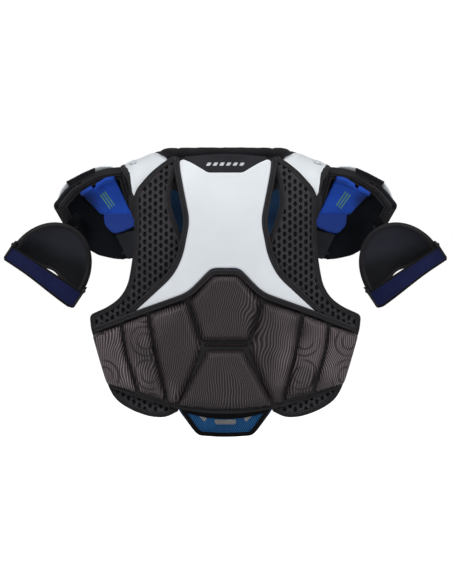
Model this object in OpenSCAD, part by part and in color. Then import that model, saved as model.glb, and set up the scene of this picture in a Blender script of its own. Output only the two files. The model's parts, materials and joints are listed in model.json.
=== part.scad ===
// Hockey shoulder pads, standing as if worn.
// The wearer faces +Y, +X is the wearer's right and +Z is up.
// The origin is the centre of the neck opening, level with the top of the collar.
// Every panel is a curved sheet: a four-sided outline, drawn as it is seen from behind as [x, z] points,
// is laid on a smooth body surface and thickened along the surface normal.

/* [Torso] */
// Half the width of the torso under the arms
torso_r = 235; // [225:1:245]
// Half the width of the front half under the arms
front_r = 212; // [205:1:218]
// Depth of the back behind the origin at the shoulder blades
back_d = 112; // [104:1:118]
// Depth of the chest in front of the origin
front_d = 122; // [114:1:128]
// Half the width of the collar
collar_r = 95; // [92:1:98]
// Radius of the collar roll
roll_r = 9; // [7:0.5:10]

/* [Pads] */
// Thickness of the moulded pads on the back
pad_t = 15; // [10:1:18]
// Thickness of the white spine plate
plate_t = 6; // [4:0.5:8]
// Thickness of the open mesh panels
mesh_t = 6; // [4:0.5:7]
// Width of the sewn edge binding
bind_w = 7; // [5:0.5:8]

/* [Shoulder cap] */
// Thickness of the cap's foam
cap_foam_t = 9; // [6:0.5:10]
// Thickness of the plastic cap shell
cap_shell_t = 3; // [2:0.5:4]
// Depth of the cap bowl, front to back
cap_d = 98; // [90:1:102]

/* [Bicep guard] */
// Half the width of the guard across the arm
guard_r = 65; // [60:1:68]
// Height of the guard's dome along the arm
guard_h = 77; // [70:1:80]
// Depth of the guard round the arm
guard_d = 58; // [50:1:62]
// Slope of the arm below the horizontal, shown by the strap line
arm_tilt = 33.4; // [25:0.1:40]
// Width of the elastic arm strap
arm_strap_w = 23; // [18:1:28]

/* [Straps and loop] */
// Width of the elastic side straps
side_strap_w = 38; // [30:1:45]
// Inside radius of the hanging loop
loop_r = 11; // [8:0.5:13]
// Width of the hanging loop's webbing
loop_w = 14; // [10:1:18]

/* [Hidden] */

// Surfaces a sheet can lie on
BACK = 0;
FRONT = 1;
CAP = 2;
GUARD = 3;
ARCH = 4;

shoulder_top = 9;      // drop of the shoulder line below the origin at the collar
shoulder_h = 110;      // height over which the shoulders reach full width
shoulder_p = 2.73;     // how fast the shoulders widen
gap = 1.6;             // space between layers, and between neighbours in a layer
liner_t = 3;           // thickness of liners and carriers
roll_z = -roll_r;      // height of the collar roll's centre line

// Layers of the back, as distances from the body surface
mesh_in = 2;
mesh_out = mesh_in + mesh_t;
carrier_in = mesh_out + gap;
carrier_out = carrier_in + liner_t;
pad_in = carrier_out + gap;
pad_out = pad_in + pad_t;
plate_in = carrier_out + gap;
plate_out = plate_in + plate_t;

// Shoulder cap bowl
cap_x = 200;
cap_y = -45;
cap_z = -103;
cap_rx_out = 76;
cap_rx_in = 140;
cap_rz_up = 84;
cap_rz_down = 100;
cap_shell_in = cap_foam_t + 2 * gap;
cap_shell_out = cap_shell_in + cap_shell_t;

// Bicep guard place: the middle of its strap line
guard_x = 276.5;
guard_y = -38;
guard_z = -189;
guard_foam_t = 6;
guard_shell_t = 3;

// ---------- small functions ----------

function clamp(t) = min(1, max(0, t));
function mix(a, b, t) = a + (b - a) * t;
function unit(v) = v / norm(v);
function mirrored(path) = [for (p = path) [-p[0], p[1]]];
function reversed(path) = [for (i = [len(path) - 1:-1:0]) path[i]];

// A point at share t of a path, each leg taking an equal share
function along(path, t) =
    let (legs = len(path) - 1, s = t * legs, i = min(floor(s), legs - 1)) mix(path[i], path[i + 1], s - i);

// A smooth curve through the same points
function smooth(path, t) =
    let (
        legs = len(path) - 1,
        s = t * legs,
        i = min(floor(s), legs - 1),
        f = s - i,
        p0 = path[max(i - 1, 0)],
        p1 = path[i],
        p2 = path[i + 1],
        p3 = path[min(i + 2, legs)]
    )
    0.5 * (2 * p1 + (p2 - p0) * f + (2 * p0 - 5 * p1 + 4 * p2 - p3) * f * f + (3 * p1 - p0 - 3 * p2 + p3) * f * f * f);

// A path moved to its left by d
function moved_left(path, d) = [
    for (i = [0:len(path) - 1])
        let (v = unit(path[min(i + 1, len(path) - 1)] - path[max(i - 1, 0)])) path[i] + d * [-v[1], v[0]]
];

// A point inside a four-sided outline; top and bottom run the same way, and so do left and right
function coons(o, u, v) =
    (1 - v) * along(o[0], u) + v * along(o[1], u) + (1 - u) * along(o[2], v) + u * along(o[3], v)
    - (1 - u) * (1 - v) * along(o[0], 0) - u * (1 - v) * along(o[0], 1)
    - (1 - u) * v * along(o[1], 0) - u * v * along(o[1], 1);

// ---------- body surfaces ----------

// Half-width of the torso at height z
function half_w(z, r) =
    let (t = clamp((-z - shoulder_top) / shoulder_h))
    collar_r + roll_r + (r - collar_r - roll_r) * (1 - pow(1 - t, shoulder_p));

// Depth of the back and of the chest on the centre line
function back_depth(z) =
    back_d - 34 * pow(1 - clamp(-z / 130), 2) - 5 * (1 - cos(180 * clamp((-z - 130) / 280)));
function front_depth(z) =
    front_d - 40 * pow(1 - clamp(-z / 150), 2) - 7 * (1 - cos(180 * clamp((-z - 150) / 290)));

function bow(x, r) = sqrt(max(1 - pow(x / r, 2), 0.03));

function cap_bowl(x, z) =
    let (
        rx = x > cap_x ? cap_rx_out : cap_rx_in,
        rz = z > cap_z ? cap_rz_up : cap_rz_down,
        f = pow((x - cap_x) / rx, 2) + pow((z - cap_z) / rz, 2)
    )
    cap_y + cap_d * sqrt(max(1 - f, 0.03));

function guard_bowl(p, q) =
    guard_d * sqrt(max(1 - pow(p / (guard_r + 1), 2) - pow(max(q, 0) / (guard_h + 11), 2), 0.03));

// Height of the shoulder arch over the point x, y
function arch_top(x, y) =
    -shoulder_top - 0.36 * (x - collar_r - roll_r) - 70 * (1 - sqrt(max(1 - pow(y / 78, 2), 0.02)));

// A point of surface k from its two flat coordinates: [x, z], or [x, y] on the arch
function skin(k, p) =
    k == BACK ? [p[0], -back_depth(p[1]) * bow(p[0], half_w(p[1], torso_r)), p[1]]
    : k == FRONT ? [p[0], front_depth(p[1]) * bow(p[0], half_w(p[1], front_r)), p[1]]
    : k == CAP ? [p[0], cap_bowl(p[0], p[1]), p[1]]
    : k == GUARD ? [p[0], guard_bowl(p[0], p[1]), p[1]]
    : [p[0], p[1], arch_top(p[0], p[1])];

// The surface's outward normal, which points away from the wearer
function skin_normal(k, p) =
    let (
        e = 0.5,
        du = skin(k, p + [e, 0]) - skin(k, p - [e, 0]),
        dv = skin(k, p + [0, e]) - skin(k, p - [0, e]),
        n = unit(cross(du, dv))
    )
    k == BACK || k == ARCH ? n : -n;

// Flat coordinates on the surface of a point that is seen at p when it stands off by ref
function seen(k, p, ref) =
    k == ARCH ? p : let (n = skin_normal(k, p)) p - ref * [n[0], n[2]];
function lifted(k, p, ref, off) =
    let (b = seen(k, p, ref)) skin(k, b) + off * skin_normal(k, b);

// ---------- solids ----------

// A closed solid between two grids of points, each with nu + 1 points in a row and nv + 1 rows
module slab(outer, inner, nu, nv, flip = false) {
    w = nu + 1;
    n = w * (nv + 1);
    rim = concat(
        [for (i = [0:nu - 1]) i],
        [for (j = [0:nv - 1]) nu + j * w],
        [for (i = [nu:-1:1]) nv * w + i],
        [for (j = [nv:-1:1]) j * w]
    );
    faces = concat(
        [for (j = [0:nv - 1], i = [0:nu - 1]) let (a = j * w + i) each [[a, a + 1, a + w], [a + 1, a + w + 1, a + w]]],
        [for (j = [0:nv - 1], i = [0:nu - 1]) let (a = n + j * w + i) each [[a, a + w, a + 1], [a + 1, a + w, a + w + 1]]],
        [for (i = [0:len(rim) - 1]) let (a = rim[i], b = rim[(i + 1) % len(rim)]) each [[a, n + a, b], [b, n + a, n + b]]]
    );
    polyhedron(concat(outer, inner), flip ? [for (f = faces) reversed(f)] : faces, convexity = 6);
}

// How far a crowned pad's face falls at u, v, from 0 in the middle to 1 at the edge
function crown_fall(u, v) = 1 - (1 - pow(abs(2 * u - 1), 4)) * (1 - pow(abs(2 * v - 1), 4));

// A sheet on surface k with outline o = [top, bottom, left, right], from off_in to off_out
module sheet(k, o, nu, nv, off_in, off_out, crown = 0) {
    flat = [for (j = [0:nv], i = [0:nu]) [coons(o, i / nu, j / nv), crown_fall(i / nu, j / nv)]];
    outer = [for (f = flat) lifted(k, f[0], off_out, off_out - crown * f[1])];
    inner = [for (f = flat) lifted(k, f[0], off_out, off_in)];
    slab(outer, inner, nu, nv, flip = k == BACK || k == ARCH);
}

// A flat strip on surface k that follows a path and lies to its left, or to its right if width is negative
module strip(k, path, width, n, off_in, off_out, ref) {
    line = [for (i = [0:n]) smooth(path, i / n)];
    edge = moved_left(line, width);
    flat = concat(line, edge);
    outer = [for (p = flat) lifted(k, p, ref, off_out)];
    inner = [for (p = flat) lifted(k, p, ref, off_in)];
    slab(outer, inner, n, 1, flip = (k == BACK || k == ARCH) == (width < 0));
}

// A round bar along a list of points, with its own radius at each
module bar(points, radii, sides = 10) {
    n = len(points);
    rings = [
        for (i = [0:n - 1])
            let (
                t = unit(points[min(i + 1, n - 1)] - points[max(i - 1, 0)]),
                a = unit(cross(t, [0, 0, 1])),
                b = cross(t, a)
            )
            for (s = [0:sides - 1]) points[i] + radii[i] * (cos(360 * s / sides) * a + sin(360 * s / sides) * b)
    ];
    faces = concat(
        [for (i = [0:n - 2], s = [0:sides - 1])
            let (a = i * sides + s, b = i * sides + (s + 1) % sides)
            each [[a, b, a + sides], [b, b + sides, a + sides]]],
        [[for (s = [sides - 1:-1:0]) s]],
        [[for (s = [0:sides - 1]) (n - 1) * sides + s]]
    );
    polyhedron(rings, faces, convexity = 4);
}

// The wearer's right side is drawn; this draws the left one
module left() mirror([1, 0, 0]) children();

// ---------- back ----------

plate_side = [[69, -17], [71, -31], [57, -108], [57, -121], [66, -170], [81, -199], [138, -253]];
plate_outline = [
    [[-69, -17], [-61, -17], [-27, -38], [27, -38], [61, -17], [69, -17]],
    [[-138, -253], [-57, -225], [-20, -189], [20, -189], [57, -225], [138, -253]],
    mirrored(plate_side),
    plate_side
];

module spine_plate() color("whitesmoke") sheet(BACK, plate_outline, 20, 18, plate_in, plate_out, 1.5);

spine_foam_side = [[62, -48], [52, -108], [52, -121], [60, -176]];
module spine_foam() color("dimgray")
    sheet(BACK, [
        [[-62, -48], [62, -48]],
        [[-60, -176], [60, -176]],
        mirrored(spine_foam_side),
        spine_foam_side
    ], 8, 6, mesh_in, carrier_out);

// The black edge beside the plate, down to the prong tips
spine_edge = concat([[70, -16]], [for (p = [plate_side[1], plate_side[2], plate_side[3], plate_side[4], plate_side[5]]) p], [[134, -249]]);
module spine_edging() strip(BACK, moved_left(spine_edge, 3), bind_w, 22, plate_in, plate_out - 1, plate_out);
module spine_binding() color("black") {
    spine_edging();
    left() spine_edging();
}

module yoke_panel() color("black")
    sheet(BACK, [
        [[-56, -14], [-27, -14], [27, -14], [56, -14]],
        [[-54, -20], [-24, -36], [24, -36], [54, -20]],
        [[-56, -14], [-54, -20]],
        [[56, -14], [54, -20]]
    ], 12, 3, carrier_in + gap, carrier_out + gap);

// Centre line of the collar, as an ellipse; 0 is the wearer's right and 90 is the front
function collar_point(a, drop = 0) =
    [collar_r * cos(a), (collar_r - 14) * sin(a), roll_z - drop];
function taper(t) = sqrt(max(1 - pow(2 * t - 1, 6), 0.12));

module collar_roll() color("black")
    let (n = 22)
    bar(
        [for (i = [0:n]) collar_point(mix(-178, -2, i / n), 7 * pow(abs(2 * i / n - 1), 4))],
        [for (i = [0:n]) roll_r * taper(i / n)]
    );

mesh_outer = [
    [97, -24], [115, -38], [142, -70], [141, -105], [141, -144], [145, -183], [151, -214],
    [160, -232], [179, -247], [208, -259], [211, -280], [207, -330], [189, -372], [173, -391], [147, -406]
];
mesh_inner = [
    [84, -18], [91, -42], [97, -67], [93, -99], [82, -130], [70, -160], [62, -190],
    [60, -210], [60, -225], [60, -240], [60, -262], [60, -310], [62, -360], [68, -392], [77, -411]
];
mesh_hem = [[77, -411], [95, -418], [120, -416], [147, -406]];
mesh_outline = [
    [[84, -18], [97, -24]],
    moved_left(mesh_hem, bind_w + 3),
    mesh_inner,
    moved_left(mesh_outer, -bind_w - 3)
];
module mesh_panel() color([0.2, 0.2, 0.22]) sheet(BACK, mesh_outline, 5, 28, mesh_in, mesh_out);
module mesh_edging() color("black")
    strip(BACK, reversed(concat(mesh_outer, [[120, -416]])), bind_w, 34, mesh_in, mesh_out + 0.8, mesh_out);

lumbar_top = [[-205, -283], [-138, -256], [-59, -229], [-21, -194], [21, -194], [59, -229], [138, -256], [205, -283]];
lumbar_bottom = [[-178, -372], [-128, -391], [-79, -404], [-26, -411], [26, -411], [79, -404], [128, -391], [178, -372]];
lumbar_side = [[205, -283], [208, -291], [187, -364], [178, -372]];
lumbar_outline = [lumbar_top, lumbar_bottom, mirrored(lumbar_side), lumbar_side];
module lumbar_carrier() color("black") sheet(BACK, lumbar_outline, 14, 8, carrier_in, carrier_out);

module lumbar_pad(o, nu = 6, nv = 6) color([0.2, 0.18, 0.18]) sheet(BACK, o, nu, nv, pad_in, pad_out, 0.6 * pad_t);
module lumbar_pad_upper() lumbar_pad([
    [[-20, -206], [0, -204], [20, -206]],
    [[-34, -299], [0, -300], [34, -299]],
    [[-20, -206], [-52, -240], [-34, -299]],
    [[20, -206], [52, -240], [34, -299]]
], 6, 8);
module lumbar_pad_lower() lumbar_pad([
    [[-24, -311], [24, -311]],
    [[-70, -396], [0, -401], [70, -396]],
    [[-24, -311], [-70, -396]],
    [[24, -311], [70, -396]]
], 6, 8);
module lumbar_pad_inner() lumbar_pad([
    [[62, -246], [119, -264]],
    [[79, -391], [86, -389]],
    [[62, -246], [41, -310], [61, -354], [79, -391]],
    [[119, -264], [107, -318], [86, -389]]
], 5, 9);
module lumbar_pad_mid() lumbar_pad([
    [[126, -267], [160, -278]],
    [[95, -386], [132, -373]],
    [[126, -267], [114, -318], [95, -386]],
    [[160, -278], [154, -318], [132, -373]]
], 5, 8);
module lumbar_pad_outer() lumbar_pad([
    [[168, -282], [196, -291]],
    [[140, -371], [171, -360]],
    [[168, -282], [161, -318], [140, -371]],
    [[196, -291], [189, -325], [171, -360]]
], 5, 8);

// The bound top edge of the lumbar pad, which covers the ends of the spine plate
lumbar_edge = [
    [203, -281], [138, -257], [59, -230], [34, -205], [21, -195], [0, -194],
    [-21, -195], [-34, -205], [-59, -230], [-138, -257], [-203, -281]
];
lumbar_hem = [
    [-207, -293], [-187, -363], [-176, -371], [-128, -389], [-79, -402], [0, -409],
    [79, -402], [128, -389], [176, -371], [187, -363], [207, -293]
];
module lumbar_binding() color("black") {
    strip(BACK, moved_left(lumbar_edge, bind_w + 0.5), -bind_w, 40, plate_out + gap, plate_out + gap + 2, plate_out);
    strip(BACK, lumbar_hem, bind_w - 3, 40, pad_in, pad_in + 3, pad_in);
}

module lumbar_liner() color([0.1, 0.3, 0.55])
    sheet(BACK, [
        [[-52, -205], [52, -205]],
        [[-52, -395], [52, -395]],
        [[-52, -205], [-52, -395]],
        [[52, -205], [52, -395]]
    ], 4, 6, mesh_in, mesh_in + liner_t);

// ---------- shoulder arches ----------

// Edges of the arch seen from above: the neck side follows the collar, the arm side is straight
arch_back = -72;
arch_front = 60;
arch_arm_x = 154;
function arch_neck_x(y) = (collar_r + 13) * sqrt(1 - pow(y / 93, 2));
arch_neck = [for (i = [0:6]) let (y = mix(arch_back, arch_front, i / 6)) [arch_neck_x(y) + 2, y]];
arch_outline = [
    [arch_neck[0], [arch_arm_x - 4, arch_back]],
    [arch_neck[6], [arch_arm_x - 6, arch_front]],
    arch_neck,
    [for (i = [0:6]) [i == 0 ? arch_arm_x - 4 : i == 6 ? arch_arm_x - 6 : arch_arm_x, mix(arch_back, arch_front, i / 6)]]
];
module arch_plate() color("whitesmoke") sheet(ARCH, arch_outline, 6, 18, 0, 3);
module arch_pad() color("black") sheet(ARCH, arch_outline, 6, 18, -8, -gap);

// A low domed rivet head, with the point on its flat side at the origin
rivet_r = 6;
rivet_t = 2;
module rivet() color("silver") {
    cylinder(h = rivet_t, r = rivet_r, $fn = 48);
    cylinder(h = rivet_t + 1, r = rivet_r / 2, $fn = 48);
}

// Two rivets hold each arch plate to its pad near the cap
rivet_x = arch_arm_x - 12;
module arch_rivets()
    for (side = [-1, 1], y = [-28, 28])
        translate([side * rivet_x, y, arch_top(rivet_x, y)])
            rotate([-atan(35 * 2 * y / (78 * 78)), side * 20, 0])
                translate([0, 0, 3 + gap])
                    rivet();

// ---------- hanging loop ----------

// A ring of webbing inside the back of the collar, which takes a wall hook from front to back
loop_t = 2;
loop_y = -(collar_r - 14) + roll_r + gap + loop_w / 2;
loop_z = -(loop_r + loop_t);
module hanging_loop() color("black")
    translate([0, loop_y, loop_z])
        rotate([90, 0, 0])
            difference() {
                cylinder(h = loop_w, r = loop_r + loop_t, center = true, $fn = 64);
                cylinder(h = loop_w + 2, r = loop_r, center = true, $fn = 64);
            }

// ---------- front ----------

front_side = [
    [104, -40], [128, -72], [130, -110], [126, -150], [130, -198], [146, -230],
    [172, -254], [190, -274], [189, -300], [186, -330]
];
front_top = [[-104, -40], [-62, -66], [-22, -82], [22, -82], [62, -66], [104, -40]];
front_hem = [[-186, -330], [-128, -352], [-50, -366], [50, -366], [128, -352], [186, -330]];
front_outline = [front_top, front_hem, mirrored(front_side), front_side];
front_in = 2;
front_foam_t = 8;
front_liner_out = front_in + liner_t;
carrier_f_in = front_liner_out + gap;
carrier_f_out = carrier_f_in + front_foam_t;
chest_in = carrier_f_out + gap;

module front_carrier() color([0.15, 0.15, 0.16]) sheet(FRONT, front_outline, 15, 18, carrier_f_in, carrier_f_out);
module front_liner() color([0.08, 0.25, 0.45]) sheet(FRONT, front_outline, 15, 18, front_in, front_liner_out);

module chest_plate() color("whitesmoke")
    sheet(FRONT, [
        [[44, -74], [100, -50]],
        [[50, -216], [128, -214]],
        [[44, -74], [40, -140], [50, -216]],
        [[100, -50], [118, -76], [120, -110], [117, -150], [120, -196], [128, -214]]
    ], 6, 10, chest_in, chest_in + 9, 5);

module sternum_plate() color("whitesmoke")
    sheet(FRONT, [
        [[-30, -92], [-12, -97], [12, -97], [30, -92]],
        [[-26, -232], [-12, -240], [12, -240], [26, -232]],
        [[-30, -92], [-30, -140], [-38, -200], [-26, -232]],
        [[30, -92], [30, -140], [38, -200], [26, -232]]
    ], 9, 12, chest_in, chest_in + 12, 6);

module rib_pad() color([0.2, 0.18, 0.18])
    sheet(FRONT, [
        [[8, -254], [50, -226], [134, -224]],
        [[8, -356], [90, -352], [176, -324]],
        [[8, -254], [8, -356]],
        [[134, -224], [148, -244], [180, -274], [176, -324]]
    ], 8, 9, chest_in, chest_in + 12, 7);

module front_collar() color("black")
    let (n = 18)
    bar(
        [for (i = [0:n]) collar_point(mix(22, 158, i / n), 34 + 42 * pow(sin(180 * i / n), 1.2))],
        [for (i = [0:n]) (roll_r - 2) * taper(i / n)]
    );

// Binding down both armholes and round the hem, on top of the foam edge
front_edge = concat(
    [for (i = [1:9]) front_side[i]],
    [[128, -351], [50, -365], [-50, -365], [-128, -351]],
    mirrored([for (i = [9:-1:1]) front_side[i]])
);
module front_binding() color("black")
    strip(FRONT, front_edge, 5, 60, chest_in, chest_in + 1.5, chest_in);

// ---------- belly guard ----------

belly_top = -378;
belly_side = [[88, belly_top], [70, -412], [45, -441], [40, -446]];
belly_outline = [
    [[-88, belly_top], [88, belly_top]],
    [[-40, -446], [40, -446]],
    mirrored(belly_side),
    belly_side
];
belly_rim = concat(belly_side, [[0, -447]], mirrored(reversed(belly_side)));
module belly_pad() color("black") sheet(FRONT, belly_outline, 8, 6, carrier_f_in, carrier_f_out + 2, 2);
module belly_liner() color([0.08, 0.3, 0.58]) sheet(FRONT, belly_outline, 8, 6, front_in, front_liner_out);
module belly_binding() color("black")
    strip(FRONT, moved_left(belly_rim, 1), -4, 28, -1.5, front_in - 0.8, front_in);

// ---------- side straps ----------

// The strap stands in the plane from the back panel's edge to the outside of the front panel's edge
strap_z = -318;
strap_start = [186, -40];
strap_end = [203, 66];
strap_t = 2.5;
module strap_run(from, to, thick, width, out)
    let (v = unit(to - from), n = [v[1], -v[0]])
    translate([0, 0, strap_z - width / 2])
        linear_extrude(width)
            polygon([from + n * out, to + n * out, to + n * (out + thick), from + n * (out + thick)]);
module side_strap() color("black") strap_run(strap_start, strap_end, strap_t, side_strap_w, 0);
module side_strap_tab() color("dimgray")
    strap_run(mix(strap_start, strap_end, 0.72), mix(strap_start, strap_end, 0.98), 1.5, side_strap_w - 6, strap_t + 0.6);

// ---------- shoulder cap ----------

cap_top = [[160, -31], [204, -31], [247, -54], [268, -88]];
cap_hem = [[137, -170], [164, -175], [202, -168], [236, -142]];
cap_neck_side = [[160, -31], [146, -72], [139, -120], [137, -170]];
cap_arm_side = [[268, -88], [262, -106], [252, -124], [236, -142]];
cap_outline = [cap_top, cap_hem, cap_neck_side, cap_arm_side];
module cap_foam() color("black") sheet(CAP, cap_outline, 12, 12, 0, cap_foam_t);
module cap_liner() color([0.12, 0.28, 0.7])
    sheet(CAP, [
        [[171, -53], [196, -52], [222, -69]],
        [[142, -122], [165, -131], [190, -125]],
        [[171, -53], [155, -85], [142, -122]],
        [[222, -69], [208, -95], [190, -125]]
    ], 6, 8, -gap - 5, -gap, 0);
module cap_shell() color("whitesmoke")
    sheet(CAP, [
        [[172, -29], [194, -26], [222, -34], [247, -52], [264, -76]],
        [[168, -100], [198, -108], [225, -108], [260, -102]],
        [[172, -29], [168, -60], [168, -100]],
        [[264, -76], [266, -88], [260, -102]]
    ], 12, 8, cap_shell_in, cap_shell_out);
module cap_binding() color("black")
    strip(CAP, concat([[162, -33]], [for (i = [1:8]) smooth(cap_top, i / 8) - [3, 3]], [[258, -104], [247, -122]]),
        -5, 26, -3, -1, cap_foam_t);

// ---------- bicep guard ----------

module on_arm() translate([guard_x, guard_y, guard_z]) rotate([0, -arm_tilt, 0]) children();

// Outline of the guard: a half ellipse over a shallow arc
function guard_dome(a) = [guard_r * cos(a), guard_h * sin(a)];
function guard_rim(t) = [mix(-guard_r, guard_r, t), 4.5 * sin(180 * t)];
guard_outline = [
    [for (i = [0:6]) guard_dome(130 - 80 * i / 6)],
    [for (i = [0:6]) guard_rim(i / 6)],
    [for (i = [0:4]) guard_dome(130 + 50 * i / 4)],
    [for (i = [0:4]) guard_dome(50 - 50 * i / 4)]
];
module bicep_pad() color("black") on_arm() sheet(GUARD, guard_outline, 12, 8, 0, guard_foam_t);
module bicep_shell() color("black")
    on_arm() sheet(GUARD, [
        [for (i = [0:4]) 0.8 * guard_dome(125 - 70 * i / 4)],
        [[-40, 14], [0, 18], [40, 14]],
        [0.8 * guard_dome(125), [-50, 38], [-40, 14]],
        [0.8 * guard_dome(55), [50, 38], [40, 14]]
    ], 8, 6, guard_foam_t + gap, guard_foam_t + gap + guard_shell_t);

// The elastic bows out behind the arm between the guard's two lower corners
arm_strap_bow = 14;
arm_strap_t = 2.5;
module bicep_strap() color([0.1, 0.12, 0.3])
    on_arm()
        translate([0, -arm_strap_t, -arm_strap_w - 1])
            linear_extrude(arm_strap_w)
                polygon(concat(
                    [for (i = [0:12]) [mix(-guard_r, guard_r, i / 12), -3 - arm_strap_bow * sin(15 * i)]],
                    [for (i = [12:-1:0]) [mix(-guard_r, guard_r, i / 12), -3 + arm_strap_t - arm_strap_bow * sin(15 * i)]]
                ));

// A webbing tether from the inside of the cap, round the guard's top edge, to the inside of the guard.
// Its points are [height along the arm, y], both from the guard's place.
tether_w = 24;
tether_p = 8;
tether_t = 2;
tether_line = [[52, 22], [64, 21], [78, 21], [85, 25], [91, 36], [95, 52], [97, 72]];
module bicep_tether() color("black")
    on_arm()
        translate([tether_p + tether_w / 2, 0, 0])
            rotate([90, 0, -90])
                linear_extrude(tether_w)
                    polygon(concat(
                        [for (t = tether_line) [-t[1], t[0]]],
                        reversed(moved_left([for (t = tether_line) [-t[1], t[0]]], -tether_t))
                    ));

// ---------- assembly ----------

spine_plate();
spine_foam();
spine_binding();
yoke_panel();
collar_roll();
left() mesh_panel();  // back_mesh_left
mesh_panel();  // back_mesh_right
left() mesh_edging();  // mesh_binding_left
mesh_edging();  // mesh_binding_right
lumbar_carrier();
lumbar_pad_upper();
lumbar_pad_lower();
left() lumbar_pad_inner();  // lumbar_pad_inner_left
lumbar_pad_inner();  // lumbar_pad_inner_right
left() lumbar_pad_mid();  // lumbar_pad_mid_left
lumbar_pad_mid();  // lumbar_pad_mid_right
left() lumbar_pad_outer();  // lumbar_pad_outer_left
lumbar_pad_outer();  // lumbar_pad_outer_right
lumbar_binding();
lumbar_liner();
left() arch_plate();  // shoulder_arch_left
arch_plate();  // shoulder_arch_right
left() arch_pad();  // arch_pad_left
arch_pad();  // arch_pad_right
arch_rivets();
hanging_loop();
front_carrier();
front_liner();
left() chest_plate();  // chest_plate_left
chest_plate();  // chest_plate_right
sternum_plate();
front_collar();
left() rib_pad();  // rib_pad_left
rib_pad();  // rib_pad_right
front_binding();
belly_pad();
belly_liner();
belly_binding();
left() side_strap();  // side_strap_left
side_strap();  // side_strap_right
left() side_strap_tab();  // side_strap_tab_left
side_strap_tab();  // side_strap_tab_right
left() cap_shell();  // cap_shell_left
cap_shell();  // cap_shell_right
left() cap_foam();  // cap_foam_left
cap_foam();  // cap_foam_right
left() cap_liner();  // cap_liner_left
cap_liner();  // cap_liner_right
left() cap_binding();  // cap_binding_left
cap_binding();  // cap_binding_right
left() bicep_tether();  // bicep_tether_left
bicep_tether();  // bicep_tether_right
left() bicep_shell();  // bicep_shell_left
bicep_shell();  // bicep_shell_right
left() bicep_pad();  // bicep_pad_left
bicep_pad();  // bicep_pad_right
left() bicep_strap();  // bicep_strap_left
bicep_strap();  // bicep_strap_right
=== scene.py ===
import json
import math

import bmesh
import bpy
import numpy as np
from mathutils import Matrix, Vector, noise
from mathutils.geometry import delaunay_2d_cdt

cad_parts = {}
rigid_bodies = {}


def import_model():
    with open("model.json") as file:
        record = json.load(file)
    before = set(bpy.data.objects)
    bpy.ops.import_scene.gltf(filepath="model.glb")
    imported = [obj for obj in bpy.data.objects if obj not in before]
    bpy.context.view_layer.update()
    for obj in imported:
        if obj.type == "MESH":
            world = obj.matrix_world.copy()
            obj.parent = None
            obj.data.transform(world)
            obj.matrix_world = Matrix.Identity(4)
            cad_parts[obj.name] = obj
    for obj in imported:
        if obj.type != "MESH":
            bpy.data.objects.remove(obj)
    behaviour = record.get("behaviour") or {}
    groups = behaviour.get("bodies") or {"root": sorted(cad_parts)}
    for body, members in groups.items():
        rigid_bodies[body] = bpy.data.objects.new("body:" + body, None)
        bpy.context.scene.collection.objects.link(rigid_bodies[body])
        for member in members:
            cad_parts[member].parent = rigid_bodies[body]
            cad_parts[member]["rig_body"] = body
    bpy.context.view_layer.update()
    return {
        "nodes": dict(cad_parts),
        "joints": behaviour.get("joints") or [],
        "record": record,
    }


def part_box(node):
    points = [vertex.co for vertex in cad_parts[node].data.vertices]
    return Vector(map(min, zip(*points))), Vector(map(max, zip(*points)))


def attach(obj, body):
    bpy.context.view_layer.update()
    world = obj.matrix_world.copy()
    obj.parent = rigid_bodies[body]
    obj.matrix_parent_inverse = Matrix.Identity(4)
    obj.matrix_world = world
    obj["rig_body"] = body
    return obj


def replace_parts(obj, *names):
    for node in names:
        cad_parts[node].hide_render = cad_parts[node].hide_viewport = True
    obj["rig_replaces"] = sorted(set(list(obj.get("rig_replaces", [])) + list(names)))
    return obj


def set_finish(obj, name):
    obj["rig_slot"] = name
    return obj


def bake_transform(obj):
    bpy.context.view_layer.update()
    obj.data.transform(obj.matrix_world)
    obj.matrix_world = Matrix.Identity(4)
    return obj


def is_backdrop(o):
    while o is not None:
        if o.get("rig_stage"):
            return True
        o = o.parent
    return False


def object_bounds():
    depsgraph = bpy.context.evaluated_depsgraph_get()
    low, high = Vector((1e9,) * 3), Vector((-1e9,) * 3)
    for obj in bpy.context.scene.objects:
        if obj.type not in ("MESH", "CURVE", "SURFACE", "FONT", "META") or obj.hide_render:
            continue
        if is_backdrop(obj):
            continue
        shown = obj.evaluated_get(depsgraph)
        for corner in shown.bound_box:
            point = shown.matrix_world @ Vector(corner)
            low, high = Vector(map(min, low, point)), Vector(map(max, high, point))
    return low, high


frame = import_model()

# Hockey shoulder pads. Shapes are worked out in millimetres in the frame's own axes: the wearer faces +Y,
# +X is the wearer's right, +Z is up. The wearer's right side is built, and pair() mirrors it to the left.
# Flat outlines are drawn as seen from behind, as points (x, z, corner cut), and laid on a body surface.

MM = 0.001
mounts = {m["name"]: m for m in frame["record"]["mounts"]}
joints = {j["name"]: j for j in frame["joints"]}


def box_mm(node):
    lo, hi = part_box(node)
    return np.array(lo) / MM, np.array(hi) / MM


# ---------- body surfaces, the same as the frame's ----------

BACK, FRONT, CAP, GUARD, ARCH = range(5)
TORSO_R, FRONT_R, NECK_R = 235.0, 212.0, 104.0
BACK_D, FRONT_D = 112.0, 122.0
SHOULDER_TOP, SHOULDER_H, SHOULDER_P = 9.0, 110.0, 2.73
CAP_CENTRE, CAP_Y, CAP_D = np.array([200.0, -103.0]), -45.0, 98.0
CAP_R_OUT, CAP_R_IN, CAP_R_UP, CAP_R_DOWN = 76.0, 140.0, 84.0, 100.0
GUARD_R, GUARD_H, GUARD_D, GUARD_Y = 65.0, 77.0, 58.0, -38.0

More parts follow.
